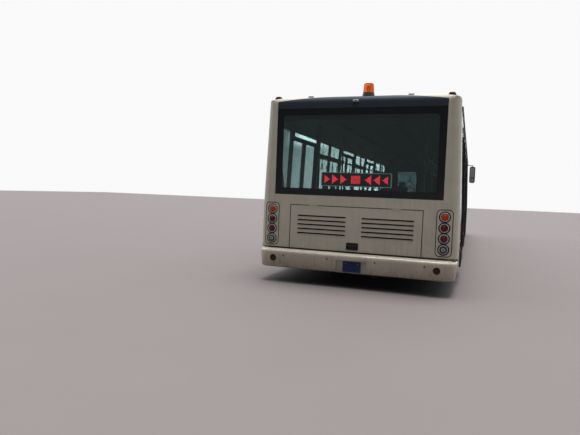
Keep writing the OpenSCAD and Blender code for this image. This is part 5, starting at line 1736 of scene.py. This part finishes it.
# World: a plain pale backdrop for the camera; other rays see a soft bright dome, dark low down at the back
def makeWorld(look):
    world = bpy.data.worlds.new("softDome")
    bpy.context.scene.world = world
    world.use_nodes = True
    nodes = Nodes(world.node_tree)
    nodes.tree.nodes.clear()
    x, y, z = nodes.axes(nodes.add("TexCoord").outputs["Generated"])
    backward = nodes.minus(nodes.times(x, look["behindLean"]), y)
    dark = nodes.times(nodes.ramp(backward, *look["behind"], kind="SMOOTHSTEP"),
                       nodes.ramp(z, *look["darkBelow"], kind="SMOOTHSTEP"))
    level = nodes.ramp(z, *look["horizonBelow"])
    # A bright opening low in the sky straight ahead, seen through the saloon
    opening = nodes.times(nodes.ramp(z, *look["openAbove"]), nodes.ramp(y, *look["openAhead"]))
    shut = nodes.times(nodes.ramp(y, *look["dimBeside"]), nodes.minus(1.0, opening))
    # Only rays that came through glass meet it, so nothing outside mirrors it
    rays = nodes.add("LightPath").outputs
    ahead = nodes.times(nodes.times(nodes.minus(1.0, shut), level), rays["Is Transmission Ray"])
    bright = nodes.mix(ahead, look["skyBright"], look["skyAhead"])
    clearSky = nodes.mix(nodes.times(shut, level), bright, look["horizonDim"])
    shade = nodes.mix(dark, clearSky, look["skyDark"])
    dome = nodes.add("Background", {"Color": shade, "Strength": look["skyStrength"]})
    pale = nodes.add("Background", {"Color": look["backdrop"], "Strength": 1.0})
    mixed = nodes.add("MixShader", {0: rays["Is Camera Ray"], 1: dome.outputs[0], 2: pale.outputs[0]})
    nodes.fill(nodes.add("OutputWorld"), {"Surface": mixed.outputs[0]})


# A broad lamp straight overhead, so faces that look up are the brightest
def makeKeyLight(look):
    lamp = bpy.data.lights.new("keyLight", "SUN")
    lamp.energy = look["keyStrength"]
    lamp.angle = math.radians(look["keySpread"])
    lamp.color = look["keyColour"]
    light = bpy.data.objects.new("keyLight", lamp)
    bpy.context.scene.collection.objects.link(light)
    light.rotation_euler = np.radians(look["keyTilt"]).tolist()


# Camera at the photograph's view, turned by yaw, pitch and roll in degrees
view = {
    "place": (1.630, -14.197, 1.4186),
    "yaw": -19.6117,
    "pitch": -2.9794,
    "roll": 2.1788,
    "lens": 31.346,
    "sensor": 36.0,
}


def makeCamera(look):
    yaw, pitch, roll = (math.radians(look[k]) for k in ("yaw", "pitch", "roll"))
    forward = np.array([math.sin(yaw) * math.cos(pitch), math.cos(yaw) * math.cos(pitch), math.sin(pitch)])
    right = np.array([math.cos(yaw), -math.sin(yaw), 0])
    up = np.cross(right, forward)
    x = right * math.cos(roll) + up * math.sin(roll)
    y = -right * math.sin(roll) + up * math.cos(roll)
    lens = bpy.data.cameras.new("photoView")
    lens.lens = look["lens"]
    lens.sensor_width = look["sensor"]
    lens.sensor_fit = "HORIZONTAL"
    camera = bpy.data.objects.new("photoView", lens)
    bpy.context.scene.collection.objects.link(camera)
    turn = np.eye(4)
    turn[:3] = np.stack([x, y, -forward, look["place"]], 1)
    camera.matrix_world = Matrix(turn.tolist())
    bpy.context.scene.camera = camera


makeFloor(studio)
makeWorld(studio)
makeKeyLight(studio)
makeCamera(view)

scene = bpy.context.scene
scene.view_settings.view_transform = "Standard"
scene.view_settings.look = "None"
scene.cycles.max_bounces = 14
scene.cycles.transmission_bounces = 12
scene.cycles.transparent_max_bounces = 16
scene.cycles.caustics_refractive = False
scene.cycles.caustics_reflective = False
scene.cycles.use_denoising = True
print("studio ready")
